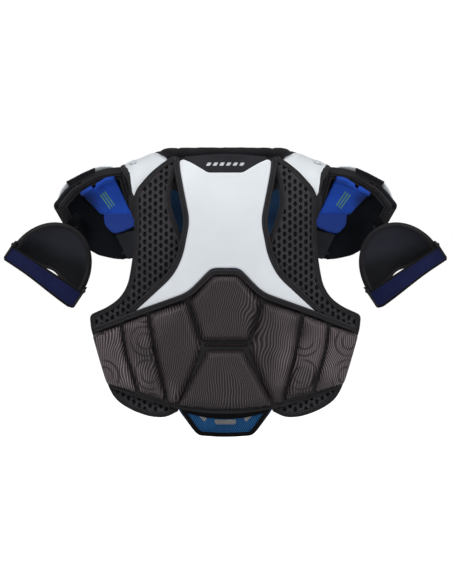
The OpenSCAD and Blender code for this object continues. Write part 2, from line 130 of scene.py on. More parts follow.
# Layers, as distances from the body surface
MESH_IN, MESH_OUT = 2.0, 8.0
CARRIER_OUT = 12.6
PLATE_IN, PLATE_OUT, PAD_OUT = 14.2, 20.2, 29.2
FRONT_IN, FRONT_LINER_OUT = 2.0, 5.0
FRONT_FOAM_IN, FRONT_FOAM_OUT = 6.6, 14.6
CHEST_IN = 16.2
CAP_FOAM_T = 9.0


def root(v, soft):
    """A square root that eases off below zero instead of stopping short."""
    return np.sqrt((v + np.sqrt(v * v + 4 * soft * soft)) / 2)


def half_w(z, r):
    t = np.clip((-z - SHOULDER_TOP) / SHOULDER_H, 0, 1)
    return NECK_R + (r - NECK_R) * (1 - (1 - t) ** SHOULDER_P)


def back_depth(z):
    low = 5 * (1 - np.cos(np.pi * np.clip((-z - 130) / 280, 0, 1)))
    return BACK_D - 34 * (1 - np.clip(-z / 130, 0, 1)) ** 2 - low


def front_depth(z):
    low = 7 * (1 - np.cos(np.pi * np.clip((-z - 150) / 290, 0, 1)))
    return FRONT_D - 40 * (1 - np.clip(-z / 150, 0, 1)) ** 2 - low


def bow(x, r):
    return root(1 - (x / r) ** 2, 0.02)


def cap_bowl(x, z):
    rx = np.where(x > CAP_CENTRE[0], CAP_R_OUT, CAP_R_IN)
    rz = np.where(z > CAP_CENTRE[1], CAP_R_UP, CAP_R_DOWN)
    f = ((x - CAP_CENTRE[0]) / rx) ** 2 + ((z - CAP_CENTRE[1]) / rz) ** 2
    return CAP_Y + CAP_D * root(1 - f, 0.04)


def guard_bowl(p, q):
    f = (p / (GUARD_R + 1)) ** 2 + (np.maximum(q, 0) / (GUARD_H + 11)) ** 2
    return GUARD_D * root(1 - f, 0.05)


def arch_top(x, y):
    fall = 70 * (1 - root(1 - (y / 78) ** 2, 0.02))
    return -SHOULDER_TOP - 0.36 * (x - NECK_R) - fall


def skin(k, p):
    """Points of surface k from their flat coordinates: (x, z), or (x, y) on the arch."""
    a, b = p[:, 0], p[:, 1]
    if k == ARCH:
        return np.column_stack([a, b, arch_top(a, b)])
    y = {
        BACK: lambda: -back_depth(b) * bow(a, half_w(b, TORSO_R)),
        FRONT: lambda: front_depth(b) * bow(a, half_w(b, FRONT_R)),
        CAP: lambda: cap_bowl(a, b),
        GUARD: lambda: guard_bowl(a, b),
    }[k]()
    return np.column_stack([a, y, b])


def unit(v, axis=1):
    return v / np.expand_dims(np.linalg.norm(v, axis=axis), axis)


def skin_normal(k, p):
    """Unit normals that point away from the wearer."""
    e = 0.5
    du = skin(k, p + [e, 0]) - skin(k, p - [e, 0])
    dv = skin(k, p + [0, e]) - skin(k, p - [0, e])
    n = unit(np.cross(du, dv))
    return n if k in (BACK, ARCH) else -n


def lifted(k, p, ref, off):
    """Points seen at p when they stand off by ref, moved to stand off by off."""
    p = np.asarray(p, float)
    off = np.broadcast_to(off, len(p)).astype(float)
    base = p if k == ARCH else p - ref * skin_normal(k, p)[:, [0, 2]]
    return skin(k, base) + off[:, None] * skin_normal(k, base)


# ---------- flat paths and outlines ----------

def smoothstep(t):
    t = np.clip(t, 0, 1)
    return t * t * (3 - 2 * t)


def bell(v, width):
    """A smooth bump that is 1 where v is 0."""
    return np.exp(-(v / width) ** 2)


def circle(n):
    """n angles round a full turn."""
    return np.linspace(0, 2 * np.pi, n, endpoint=False)


def mirrored(points):
    return [(-q[0],) + tuple(q[1:]) for q in points]


def whole(half):
    """A closed symmetric outline from its right half, listed from top to bottom."""
    return list(half) + mirrored(half)[::-1]


def across_middle(half):
    """An open symmetric path, from its right half listed from the middle outwards."""
    return mirrored(half)[:0:-1] + half


def lengths(path):
    """The distance along a path up to each of its points."""
    return np.concatenate([[0], np.cumsum(np.linalg.norm(np.diff(path, axis=0), axis=1))])


def resampled(path, step, closed=False):
    p = np.vstack([path, path[:1]]) if closed else np.asarray(path, float)
    s = lengths(p)
    t = np.linspace(0, s[-1], max(3, int(round(s[-1] / step))) + 1)
    out = np.column_stack([np.interp(t, s, p[:, i]) for i in range(p.shape[1])])
    return out[:-1] if closed else out


def rounded(points, closed=True, step=2.0):
    """A dense path through the points, each corner cut off and rounded by its own amount."""
    pts = np.array([q[:2] for q in points], float)
    out = []
    for i, b in enumerate(pts):
        if not closed and i in (0, len(pts) - 1):
            out.append(b)
            continue
        a, c = pts[i - 1], pts[(i + 1) % len(pts)]
        la, lc = np.linalg.norm(a - b), np.linalg.norm(c - b)
        cut = min(points[i][2], 0.49 * la, 0.49 * lc)
        start, end = b + (a - b) * cut / la, b + (c - b) * cut / lc
        for t in np.linspace(0, 1, 7) if cut > 0.05 else [0.5]:
            out.append((1 - t) ** 2 * start + 2 * t * (1 - t) * b + t * t * end)
    return resampled(np.array(out), step, closed)


def side_normal(path, closed=False):
    """Unit normals to the left of a flat path."""
    v = np.roll(path, -1, 0) - np.roll(path, 1, 0) if closed else np.gradient(path, axis=0)
    v = unit(v)
    return np.column_stack([-v[:, 1], v[:, 0]])


def offset_path(path, d):
    return path + d * side_normal(path)


def turns_left(outline):
    return np.cross(outline, np.roll(outline, -1, 0)).sum() > 0


def offset_inward(outline, d):
    """A closed outline drawn in by d."""
    inner = outline + (d if turns_left(outline) else -d) * side_normal(outline, closed=True)
    return inner[inside_depth(inner, outline) > 0.95 * d]


def inside_depth(p, poly):
    """Distance to the closed outline poly, positive inside and negative outside."""
    out = np.empty(len(p))
    a, b = poly, np.roll(poly, -1, 0)
    ab = b - a
    den = np.maximum((ab ** 2).sum(1), 1e-12)
    rise = np.where(ab[:, 1] == 0, 1e-12, ab[:, 1])
    for i in range(0, len(p), 2000):
        q = p[i:i + 2000]
        ap = q[:, None] - a[None]
        t = np.clip((ap * ab).sum(2) / den, 0, 1)
        d = np.linalg.norm(ap - t[:, :, None] * ab, axis=2).min(1)
        cross = (a[:, 1] > q[:, 1:]) != (b[:, 1] > q[:, 1:])
        x_at = a[:, 0] + (q[:, 1:] - a[:, 1]) * ab[:, 0] / rise
        odd = (cross & (q[:, :1] < x_at)).sum(1) % 2 == 1
        out[i:i + 2000] = np.where(odd, d, -d)
    return out


# ---------- pieces ----------

SMOOTH_ANGLE = math.radians(42)

# The CAD material that each look stands for; stitches have none
SLOTS = {
    "shell_white": "shell_white", "binding_black": "binding_black", "loop_webbing": "loop_webbing",
    "tether_cloth": "loop_webbing", "collar_cloth": "collar_black", "yoke_cloth": "yoke_black",
    "light_print": "yoke_black", "side_mesh": "mesh_charcoal", "mesh_backing": "mesh_charcoal",
    "lumbar_cloth": "lumbar_cloth", "laminated_foam": "carrier_black", "liner_blue": "liner_blue",
    "belly_blue": "liner_blue", "belly_print": "liner_blue", "cap_liner_blue": "cap_liner_blue",
    "cap_lining": "carrier_black", "cap_lining_panel": "carrier_black", "guard_lining": "guard_lining",
    "guard_shell": "guard_black", "tab_rubber": "tab_rubber", "side_elastic": "side_elastic",
    "arm_elastic": "arm_elastic"
}


def placed(name, mesh, body, stand_for, slot):
    """An object on a body of the frame, in place of the named CAD nodes."""
    piece = bpy.data.objects.new(name, mesh)
    bpy.context.scene.collection.objects.link(piece)
    if body:
        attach(piece, body)
    if stand_for:
        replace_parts(piece, *stand_for.split())
    if slot:
        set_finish(piece, slot)
    return piece


def make(name, verts, faces, material, body, flat=None, stand_for="", slot=None, arm=False):
    """A piece from points in millimetres; flat holds its pattern coordinates in millimetres."""
    verts = to_arm(verts) if arm else np.asarray(verts, float)
    mesh = bpy.data.meshes.new(name)
    mesh.from_pydata((verts * MM).tolist(), [], [list(map(int, f)) for f in faces])
    if flat is not None:
        data = np.zeros((len(verts), 3), np.float32)
        data[:, :np.shape(flat)[1]] = np.asarray(flat) * MM
        mesh.attributes.new("flat", "FLOAT_VECTOR", "POINT").data.foreach_set("vector", data.ravel())
    tidy = bmesh.new()
    tidy.from_mesh(mesh)
    bmesh.ops.recalc_face_normals(tidy, faces=tidy.faces)
    tidy.to_mesh(mesh)
    tidy.free()
    mesh.shade_smooth()
    mesh.set_sharp_from_angle(angle=SMOOTH_ANGLE)
    mesh.materials.append(material)
    if slot is None:
        # Blender adds a number to a look that shares its name with a CAD material
        slot = SLOTS.get(material.name.split(".")[0])
    return placed(name, mesh, body, stand_for, slot)


def to_left(name):
    return name.replace("right", "left")


def pair(piece):
    """The left twin of a right-hand piece: mesh, body, replaced nodes and slot."""
    mesh = piece.data.copy()
    co = np.zeros(len(mesh.vertices) * 3, np.float32)
    mesh.vertices.foreach_get("co", co)
    co[::3] *= -1
    mesh.vertices.foreach_set("co", co)
    mesh.flip_normals()
    replaced = to_left(" ".join(piece.get("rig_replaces", [])))
    return placed(to_left(piece.name), mesh, to_left(piece.get("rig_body", "")), replaced,
                  piece.get("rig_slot"))


arm_pos = np.array(mounts["right_arm"]["pos_m"]) / MM
arm_axis = np.array(mounts["right_arm"]["axis"])
ARM_SIN, ARM_COS = arm_axis[0], -arm_axis[2]


def to_arm(v):
    """From the arm guard's own axes (across, depth, along) to the frame."""
    v = np.asarray(v, float)
    x = arm_pos[0] + v[:, 0] * ARM_COS - v[:, 2] * ARM_SIN
    z = arm_pos[2] + v[:, 0] * ARM_SIN + v[:, 2] * ARM_COS
    return np.column_stack([x, GUARD_Y + v[:, 1], z])


def crease_points(shapes, outline, rim):
    """Rows of points along the shapes' edges, so that raised blocks get clean sides."""
    rows = []
    for shape in shapes:
        inward = side_normal(shape, closed=True)
        for d in (-1.0, 0.8, 3.0, 5.4, 8.0):
            ring = shape + d * inward
            rows.append(ring[inside_depth(ring, shape) > d - 0.15 * abs(d) - 0.05])
    rows = np.vstack(rows)
    return rows[inside_depth(rows, outline) > 2.3 * rim]


def far_from(p, others, gap):
    """True for each point of p that is at least gap away from all the others."""
    out = np.empty(len(p), bool)
    for i in range(0, len(p), 500):
        out[i:i + 500] = ((p[i:i + 500, None] - others[None]) ** 2).sum(2).min(1) > gap * gap
    return out


HOLE_SIDES, HOLE_LIP = 12, 1.22


def hole_reach(p, holes):
    """How far each point is from the nearest hole's centre, where 1 is that hole's edge."""
    out = np.empty(len(p))
    for i in range(0, len(p), 2000):
        d = (p[i:i + 2000, None] - holes["centres"][None]) / holes["radii"]
        out[i:i + 2000] = np.linalg.norm(d, axis=2).min(1)
    return out


def staggered_grid(outline, step):
    """Points over the outline's box, every second row half a step along."""
    lo, hi = outline.min(0), outline.max(0)
    rows = []
    for j, z in enumerate(np.arange(lo[1], hi[1], step * 0.87)):
        x = np.arange(lo[0] + (j % 2) * step / 2, hi[0], step)
        rows.append(np.column_stack([x, np.full(len(x), z)]))
    return np.vstack(rows)


def triangulated(outline, step, rim, holes=None, creases=None):
    """Points and triangles that fill an outline, finer along its rim, and round any holes and creases."""
    outline = outline if turns_left(outline) else outline[::-1]
    inward = side_normal(outline, closed=True)
    sets = [outline]
    loops = [np.arange(len(outline))]
    for d in (0.12 * rim, 0.45 * rim, rim, 2.2 * rim):
        ring = outline + d * inward
        sets.append(ring[inside_depth(ring, outline) > 0.93 * d])
    grid = staggered_grid(outline, step)
    grid = grid[inside_depth(grid, outline) > 2.2 * rim + 0.45 * step]
    if creases is not None:
        rows = crease_points(creases, outline, rim)
        grid = grid[far_from(grid, rows, 0.6 * step)]
        sets.append(rows)
    if holes is not None:
        a = circle(HOLE_SIDES)
        ring = np.column_stack([np.cos(a), np.sin(a)]) * holes["radii"]
        centres = holes["centres"]
        grid = grid[hole_reach(grid, holes) > 1.45]
        count = sum(len(s) for s in sets)
        inner = (centres[:, None] + ring).reshape(-1, 2)
        sets += [inner, (centres[:, None] + ring * HOLE_LIP).reshape(-1, 2)]
        loops += [count + HOLE_SIDES * i + np.arange(HOLE_SIDES) for i in range(len(centres))]
    sets.append(grid)
    edges = [(int(l[i]), int(l[(i + 1) % len(l)])) for l in loops for i in range(len(l))]
    out = delaunay_2d_cdt([Vector(p) for p in np.vstack(sets)], edges, [], 0, 1e-5, False)
    p = np.array([v[:] for v in out[0]])
    tri = np.array([f for f in out[2] if len(f) == 3])
    middle = p[tri].mean(1)
    keep = inside_depth(middle, outline) > 0
    if holes is not None:
        keep &= hole_reach(middle, holes) > 0.97
    p, tri = only_used(p, same_turn(p, tri[keep]))
    return p, tri, outline


def same_turn(p, tri):
    """The triangles that have an area, all turning the same way."""
    a, b, c = p[tri[:, 0]], p[tri[:, 1]], p[tri[:, 2]]
    turn = np.cross(b - a, c - a)
    tri = tri[np.abs(turn) > 1e-9]
    turn = turn[np.abs(turn) > 1e-9]
    tri[turn < 0] = tri[turn < 0][:, ::-1]
    return tri


def only_used(p, tri):
    """The points that the triangles use, and the triangles over those."""
    used = np.unique(tri)
    index = np.full(len(p), -1)
    index[used] = np.arange(len(used))
    return p[used], index[tri]


def open_edges(tri):
    e = np.vstack([tri[:, [0, 1]], tri[:, [1, 2]], tri[:, [2, 0]]])
    _, first, counts = np.unique(np.sort(e, axis=1), axis=0, return_index=True, return_counts=True)
    return e[first[counts == 1]]


def rim_drop(d, r):
    """How far a rounded rim of radius r falls at distance d from the edge."""
    t = np.clip(d / r, 0, 1)
    return r * (1 - np.sqrt(np.maximum(1 - (1 - t) ** 2, 0)))


def relief(name, k, outline, layer, material, body, ref=None, rim=1.5, step=4.0,
           holes=None, creases=None, height=None, **rest):
    """A closed sheet on surface k that fills the layer, with rounded rims and a raised height pattern."""
    inner, outer = layer
    p, tri, outline = triangulated(outline, step, rim, holes, creases)
    d = inside_depth(p, outline)
    ref = outer if ref is None else ref
    rise = np.zeros(len(p)) if height is None else height(p, np.maximum(d, 0))
    high = outer - rim_drop(d, rim) + rise
    low = inner + 0.5 * rim_drop(d, min(rim, (outer - inner) / 2))
    if holes is not None:
        reach = hole_reach(p, holes)
        lip = np.where(reach < 1.1, 1.0, np.where(reach < HOLE_LIP + 0.05, 0.2, 0.0))
        high, low = high - lip * holes["lip"], low + 0.5 * lip * holes["lip"]
    n = len(p)
    a, b = open_edges(tri).T
    faces = [*tri, *(tri[:, ::-1] + n), *np.column_stack([b, a, a + n, b + n])]
    verts = np.vstack([lifted(k, p, ref, high), lifted(k, p, ref, np.minimum(low, high - 0.3))])
    flat = np.column_stack([p, rise])
    return make(name, verts, faces, material, body, flat=np.vstack([flat, flat]), **rest)


def loft(rings):
    """Points and faces of a capped tube through rings of points."""
    n, m = rings.shape[:2]
    j = np.arange(m)
    faces = []
    for a in range(0, (n - 1) * m, m):
        faces += [(a + s, a + (s + 1) % m, a + m + (s + 1) % m, a + m + s) for s in j]
    faces += [tuple(j[::-1]), tuple((n - 1) * m + j)]
    return rings.reshape(-1, 3), faces


def tape_profile(width, lo, hi, crown):
    """The section of a tape, flat below and slightly crowned above."""
    r = min(1.2, 0.45 * (hi - lo))
    w = width / 2
    return np.array([(-w + 0.3, lo), (-w, lo + 0.4), (-w, hi - r), (-w + r, hi), (-w / 2, hi + 0.7 * crown),
                     (0, hi + crown), (w / 2, hi + 0.7 * crown), (w - r, hi), (w, hi - r), (w, lo + 0.4),
                     (w - 0.3, lo), (0, lo)])


def tape_pattern(path, profile):
    """Pattern coordinates of a tape: the distance along its path, and across it."""
    along = lengths(path)
    columns = [np.column_stack([along, np.full(len(path), w)]) for w, _ in profile]
    return np.stack(columns, axis=1).reshape(-1, 2)


def tape(name, k, path, width, layer, ref, body, crown=0.3, **rest):
    """A binding tape laid along a flat path on surface k."""
    profile = tape_profile(width, *layer, crown)
    normal = side_normal(path)
    verts, faces = loft(np.stack([lifted(k, path + w * normal, ref, off) for w, off in profile], axis=1))
    return make(name, verts, faces, BINDING, body, flat=tape_pattern(path, profile), **rest)


def ribbon(name, centres, across, out, width, thick, material, body, **rest):
    """A flat strap through 3-D centre points, with its width along across and its face along out."""
    profile = tape_profile(width, -thick / 2, thick / 2, 0.15)
    verts, faces = loft(np.stack([centres + w * np.asarray(across) + o * out for w, o in profile], axis=1))
    return make(name, verts, faces, material, body, flat=tape_pattern(centres, profile), **rest)


# Shares of a stitch's length, each with the stitch's thickness there
STITCH_SHAPE = ((0, 0.35), (0.25, 1.0), (0.75, 1.0), (1, 0.35))


def stitches(name, lines, material, body, pitch=3.2, length=2.1, radius=0.38):
    """Rows of short stitches along 3-D lines."""
    verts, faces = [], []
    a = circle(5)[:, None]
    for line in lines:
        path = resampled(line, pitch)
        for start, end in zip(path[:-1], path[1:]):
            t = unit(end - start, 0)
            u = unit(np.cross(t, [0.3, 0.9, 0.2]), 0)
            ring = radius * (np.cos(a) * u + np.sin(a) * np.cross(t, u))
            rings = [start + t * length * s + ring * r for s, r in STITCH_SHAPE]
            more, quads = loft(np.stack(rings))
            faces += [tuple(i + len(verts) for i in q) for q in quads]
            verts.extend(more)
    return make(name, np.array(verts), faces, material, body, slot="")


def seam(name, k, paths, ref, off, body):
    """Stitching along flat paths on surface k."""
    return stitches(name, [lifted(k, path, ref, off) for path in paths], BLACK_THREAD, body)


def tube(name, centres, radii, material, body, flatten=1.0, **rest):
    """A padded roll through 3-D centres; flatten squeezes it sideways."""
    t = unit(np.gradient(centres, axis=0))
    side = unit(np.cross(t, [0, 0, 1.0]))
    up = np.cross(side, t)
    a = circle(20)
    rings = [centres + radii[:, None] * (flatten * math.cos(s) * side + math.sin(s) * up) for s in a]
    flat = np.stack([np.column_stack([lengths(centres), radii * s]) for s in a], axis=1)
    verts, faces = loft(np.stack(rings, axis=1))
    return make(name, verts, faces, material, body, flat=flat.reshape(-1, 2), **rest)


def ruled(name, a, b, thick, sag=0.0):
    """A cloth between two 3-D edges with the same number of points, bellied outwards by sag."""
    t = np.linspace(0, 1, 9)
    grid = np.stack([(1 - s) * a + s * b for s in t])
    n = np.cross(np.gradient(grid, axis=0), np.gradient(grid, axis=1))
    n /= np.maximum(np.linalg.norm(n, axis=2), 1e-9)[:, :, None]
    middle = (a.mean(0) + b.mean(0)) / 2
    if (n.mean((0, 1)) * (middle - [0, 0, middle[2] - 60])).sum() < 0:
        n = -n
    grid = grid + n * (sag * np.sin(np.pi * t))[:, None, None]
    r, c = grid.shape[:2]
    idx = np.arange(r * c).reshape(r, c)
    quad = np.stack([idx[:-1, :-1], idx[1:, :-1], idx[1:, 1:], idx[:-1, 1:]], axis=2).reshape(-1, 4)
    rim = np.concatenate([idx[0, :-1], idx[:-1, -1], idx[-1, :0:-1], idx[:0:-1, 0]])
    after = np.roll(rim, -1)
    faces = [*quad, *(quad[:, ::-1] + r * c), *np.column_stack([rim, after, after + r * c, rim + r * c])]
    verts = np.vstack([(grid + n * thick / 2).reshape(-1, 3), (grid - n * thick / 2).reshape(-1, 3)])
    u = np.tile(np.linspace(0, np.linalg.norm(a[-1] - a[0]), c), r)
    v = np.repeat(t * np.linalg.norm((b - a).mean(0)), c)
    flat = np.column_stack([u, v])
    return make(name, verts, faces, FOAM, None, flat=np.vstack([flat, flat]))


def wrinkled(piece, amount, size):
    """Moves each point along its normal by smooth noise, as cloth that isn't quite taut."""
    for v in piece.data.vertices:
        v.co += v.normal * amount * MM * noise.noise(v.co / (size * MM))


# ---------- padded cloth, by simulation ----------

LAST_FRAME = 20


def points_of(piece):
    co = np.zeros(len(piece.data.vertices) * 3, np.float32)
    piece.data.vertices.foreach_get("co", co)
    return co


def bake(pieces):
    """Applies every modifier on the pieces."""
    graph = bpy.context.evaluated_depsgraph_get()
    meshes = [bpy.data.meshes.new_from_object(o.evaluated_get(graph)) for o in pieces]
    for o, mesh in zip(pieces, meshes):
        o.modifiers.clear()
        o.data = mesh
        mesh.shade_smooth()


def puffed(pieces, voxel, pressure, cap):
    """Blows each padded piece up by cloth simulation, with a limit on how far a point moves."""
    for o in pieces:
        remesh = o.modifiers.new("remesh", "REMESH")
        remesh.mode = "VOXEL"
        remesh.voxel_size = voxel * MM
    bake(pieces)
    rest = [points_of(o) for o in pieces]
    for o in pieces:
        cloth = o.modifiers.new("cloth", "CLOTH").settings
        cloth.use_pressure = True
        cloth.uniform_pressure_force = pressure
        cloth.effector_weights.gravity = 0
        cloth.tension_stiffness = cloth.compression_stiffness = 20
        cloth.bending_stiffness = 1.5
    scene = bpy.context.scene
    for f in range(1, LAST_FRAME + 1):
        scene.frame_set(f)
    bake(pieces)
    scene.frame_set(1)
    for o, before in zip(pieces, rest):
        move = (points_of(o) - before).reshape(-1, 3)
        size = np.linalg.norm(move, axis=1)[:, None]
        move *= np.minimum(1, cap * MM / np.maximum(size, 1e-9))
        o.data.vertices.foreach_set("co", (before + move.ravel()).astype(np.float32))
        o.modifiers.new("smooth", "SUBSURF").levels = 1
    bake(pieces)


# ---------- materials ----------

def srgb(r, g, b):
    def lin(c):
        c /= 255
        return c / 12.92 if c <= 0.04045 else ((c + 0.055) / 1.055) ** 2.4
    return (lin(r), lin(g), lin(b), 1.0)


def scaled(color, gain, lift=0.0):
    return tuple(min(1, gain * c + lift) for c in color[:3]) + (1,)


class Signal:
    """A number inside a material; arithmetic on it adds Math nodes."""

    def __init__(self, look, socket):
        self.look = look
        self.socket = socket

    def __add__(self, other):
        return self.look.math("ADD", self, other)

    def __sub__(self, other):
        return self.look.math("SUBTRACT", self, other)

    def __rsub__(self, other):
        return self.look.math("SUBTRACT", other, self)

    def __mul__(self, other):
        return self.look.math("MULTIPLY", self, other)

    def __abs__(self):
        return self.look.math("ABSOLUTE", self)


class Look:
    """Short-hand for one material's nodes. Lengths in a look are in metres."""

    def __init__(self, name, rough=0.8, sheen=0.0, specular=0.35):
        self.mat = bpy.data.materials.new(name)
        self.mat.use_nodes = True
        self.tree = self.mat.node_tree
        self.skin = self.tree.nodes["Principled BSDF"]
        self.set("Roughness", rough)
        self.set("Specular IOR Level", specular)
        self.set("Sheen Weight", sheen)
        self.set("Sheen Roughness", 0.5)
        self.normal = None

    def set(self, name, value):
        self.feed(value, self.skin.inputs[name])

    def color(self, value):
        self.set("Base Color", value)

    def feed(self, value, socket):
        if isinstance(value, Signal):
            value = value.socket
        if isinstance(value, bpy.types.NodeSocket):
            self.tree.links.new(value, socket)
        else:
            socket.default_value = value

    def node(self, kind, inputs, **settings):
        n = self.tree.nodes.new("ShaderNode" + kind)
        for key, value in settings.items():
            setattr(n, key, value)
        for key, value in inputs.items():
            self.feed(value, n.inputs[key])
        return n

    def number(self, kind, inputs, output, **settings):
        return Signal(self, self.node(kind, inputs, **settings).outputs[output])

    def math(self, operation, a, b=0.0):
        return self.number("Math", {0: a, 1: b}, 0, operation=operation)

    def flat(self):
        """Pattern coordinates along the piece."""
        return self.node("Attribute", {}, attribute_name="flat").outputs["Vector"]

    def space(self):
        return self.node("TexCoord", {}).outputs["Object"]

    def split(self, vector):
        parts = self.node("SeparateXYZ", {0: vector}).outputs
        return [Signal(self, part) for part in parts]

    def noise(self, vector, scale, detail=2.0):
        return self.number("TexNoise", {"Vector": vector, "Scale": scale, "Detail": detail}, "Fac")

    def wave(self, value, pitch):
        """A sine of the given pitch, from 0 to 1."""
        return self.math("SINE", value * (2 * math.pi / pitch)) * 0.5 + 0.5

    def diamonds(self, x, y, pitch):
        """Two crossed slanting waves, as in a knit or a twill."""
        return self.wave(x + y, pitch) * self.wave(x - y, pitch)

    def ramp(self, value, lo, hi):
        inputs = {"Value": value, "From Min": lo, "From Max": hi}
        return self.number("MapRange", inputs, "Result", interpolation_type="SMOOTHSTEP")

    def mix(self, factor, a, b):
        return self.node("Mix", {0: factor, 6: a, 7: b}, data_type="RGBA").outputs[2]

    def bump(self, height, depth_mm, strength=1.0):
        inputs = {"Height": height, "Distance": depth_mm * MM, "Strength": strength}
        if self.normal is not None:
            inputs["Normal"] = self.normal
        self.normal = self.node("Bump", inputs).outputs[0]
        self.set("Normal", self.normal)

    def worn(self, color, vector, scale, spread=0.25):
        """Uneven tone: the same colour, lighter and darker in soft patches."""
        patches = self.ramp(self.noise(vector, scale, 4), 0.3, 0.7)
        return self.mix(patches, scaled(color, 1 - spread), scaled(color, 1 + spread))


def shell_white():
    """Satin moulded plastic with a fine grain, a little scuffed along its edges."""
    look = Look("shell_white", rough=0.42, specular=0.4)
    v = look.space()
    base = look.worn(srgb(226, 231, 236), v, 14, 0.025)
    edge = look.number("NewGeometry", {}, "Pointiness")
    scuff = look.ramp(edge, 0.52, 0.62) * look.ramp(look.noise(v, 90, 6), 0.45, 0.7)
    look.color(look.mix(scuff * 0.5, base, srgb(176, 180, 186)))
    look.set("Roughness", look.noise(v, 60, 3) * 0.16 + 0.34)
    look.bump(look.noise(v, 1500), 0.05)
    look.bump(look.noise(v, 22), 0.35, 0.5)
    return look.mat


def binding_tape(name, color, rough=0.72):
    """Woven tape: fine ribs across it, and threads along it."""
    look = Look(name, rough=rough, sheen=0.05, specular=0.2)
    x, y, _ = look.split(look.flat())
    weave = look.wave(x, 0.0011) * look.wave(y, 0.0009)
    look.color(look.mix(weave * 0.5, look.worn(color, look.space(), 40), scaled(color, 2.0, 0.004)))
    look.bump(weave, 0.12)
    return look.mat


def brushed_cloth(name, color, pitch=0.0009, rough=0.85, sheen=0.06, specular=0.15, wrinkle=0.5):
    """Plain cloth with a fine weave and shallow creases."""
    look = Look(name, rough=rough, sheen=sheen, specular=specular)
    v = look.space()
    x, y, z = look.split(v)
    threads = look.wave(x + y, 2 * pitch) * look.wave(z, 2 * pitch)
    look.color(look.mix(threads * 0.45, look.worn(color, v, 26, 0.22), scaled(color, 1.7, 0.004)))
    look.bump(threads, 0.08)
    look.bump(look.noise(v, 45, 3), wrinkle, 0.6)
    return look.mat


def side_mesh_knit():
    """Charcoal spacer knit: slanted loops along every strand between the holes."""
    look = Look("side_mesh", rough=0.78, sheen=0.08, specular=0.2)
    x, y, _ = look.split(look.flat())
    loops = look.diamonds(x, y, 0.0016)
    base = look.worn(srgb(40, 38, 42), look.space(), 18, 0.3)
    look.color(look.mix(loops * 0.7, base, srgb(92, 90, 96)))
    look.bump(loops, 0.22)
    return look.mat


def broken_rings(look, v, side, y):
    """Two broad rings round each point of a lattice, broken up and only on the outer blocks."""
    across = look.math("PINGPONG", side - y * 0.12 - 0.1615, 0.035)
    up = look.math("PINGPONG", y + 0.353, 0.026)
    reach = look.math("SQRT", across * across + up * up)
    bands = look.ramp(look.wave(reach + 0.0011, 0.0105), 0.62, 0.92)
    ringed = look.ramp(reach, 0.0085, 0.0095) * look.ramp(reach, 0.0262, 0.0252)
    ringed = ringed * look.ramp(look.noise(v, 34, 0.0), 0.36, 0.56)
    return bands * (ringed * look.ramp(side, 0.1, 0.115))


def lumbar_cloth():
    """Dark pressed cloth with painted shade in its grooves, a painted highlight that lifts the outer
    blocks, contour lines, and broad rings on the outer blocks.
    """
    look = Look("lumbar_cloth", rough=0.42, sheen=0.02, specular=0.33)
    v = look.flat()
    x, y, rise = look.split(v)
    side = abs(x)
    drift = look.noise(v, 13, 0.4) * 0.050
    swirl = look.noise(v, 40, 0.0) * 0.007
    lines = look.ramp(look.wave(x + drift + swirl, 0.0033), 0.5, 0.92)
    rings = broken_rings(look, v, side, y)
    # Lighter towards the outer blocks: random tone patches, plus a painted highlight growing outwards that
    # also brightens the lines.
    outer = look.ramp(look.noise(look.space(), 17, 1.0) * 0.5 + side * 2.6, 0.46, 0.7)
    # Painted shade: the groove floors and block sides are darker than the block tops.
    groove_shade_fade = look.ramp(rise, 0.0008, 0.0075)
    base = look.mix(groove_shade_fade, srgb(19, 16, 18), look.mix(outer, srgb(25, 21, 23), srgb(50, 44, 47)))
    bright = look.mix(outer, srgb(78, 69, 72), srgb(124, 111, 117))
    tint = look.mix(lines * look.ramp(rise, 0.0005, 0.004), base, bright)
    look.color(look.mix(rings * 0.8, tint, srgb(28, 24, 26)))
    look.set("Roughness", 0.5 - lines * 0.14)
    look.bump(lines, 0.25)
    look.bump(look.noise(look.space(), 900), 0.06)
    return look.mat


def guard_lining():
    """Smooth laminated cloth with painted shade that deepens towards the strap, in the hollow of the dome.
    """
    look = Look("guard_lining", rough=0.6, sheen=0.03, specular=0.12)
    v = look.space()
    x, y, _ = look.split(look.flat())
    # Painted shade: dark near the strap, lighter towards the top of the dome.
    up = y + (look.noise(v, 28) * 0.03 + x * 0.2)
    look.color(look.mix(look.ramp(up, 0.028, 0.066), srgb(16, 17, 20), srgb(41, 43, 52)))
    look.bump(look.wave(x, 0.0016) * look.wave(y, 0.0016), 0.05)
    look.bump(look.noise(v, 40, 3), 0.9, 0.6)
    return look.mat


def padded_blue():
    """Brushed blue cloth with a darker lower panel, painted shade towards its outer, lower side, and a
    plain mark of three thin green lines.
    """
    look = Look("cap_liner_blue", rough=0.7, sheen=0.1, specular=0.25)
    v = look.space()
    x, _, z = look.split(v)
    side = abs(x)
    a, b = side - 0.1835, z + 0.0805
    slant_cos, slant_sin = 0.82, 0.57
    along = abs(b * slant_cos + a * slant_sin)
    across = a * slant_cos - b * slant_sin
    lines = look.ramp(look.wave(across, 0.0042), 0.55, 0.7)
    mark = look.ramp(along, 0.0135, 0.013) * look.ramp(abs(across), 0.0066, 0.0061)
    threads = look.diamonds(x, z, 0.0016)
    base = look.mix(look.ramp(z, -0.099, -0.104), look.worn(srgb(28, 80, 196), v, 30, 0.2),
                    srgb(32, 64, 156))
    # Painted shade: the outer, lower part of the liner fades to dark blue.
    base = look.mix(look.ramp(side, 0.188, 0.215) * look.ramp(z, -0.062, -0.08), base, srgb(13, 26, 72))
    tint = look.mix(threads * 0.35, base, srgb(48, 106, 224))
    look.color(look.mix(lines * mark, tint, srgb(110, 170, 128)))
    look.bump(threads, 0.1)
    look.bump(look.noise(v, 60, 3), 0.8, 0.6)
    return look.mat


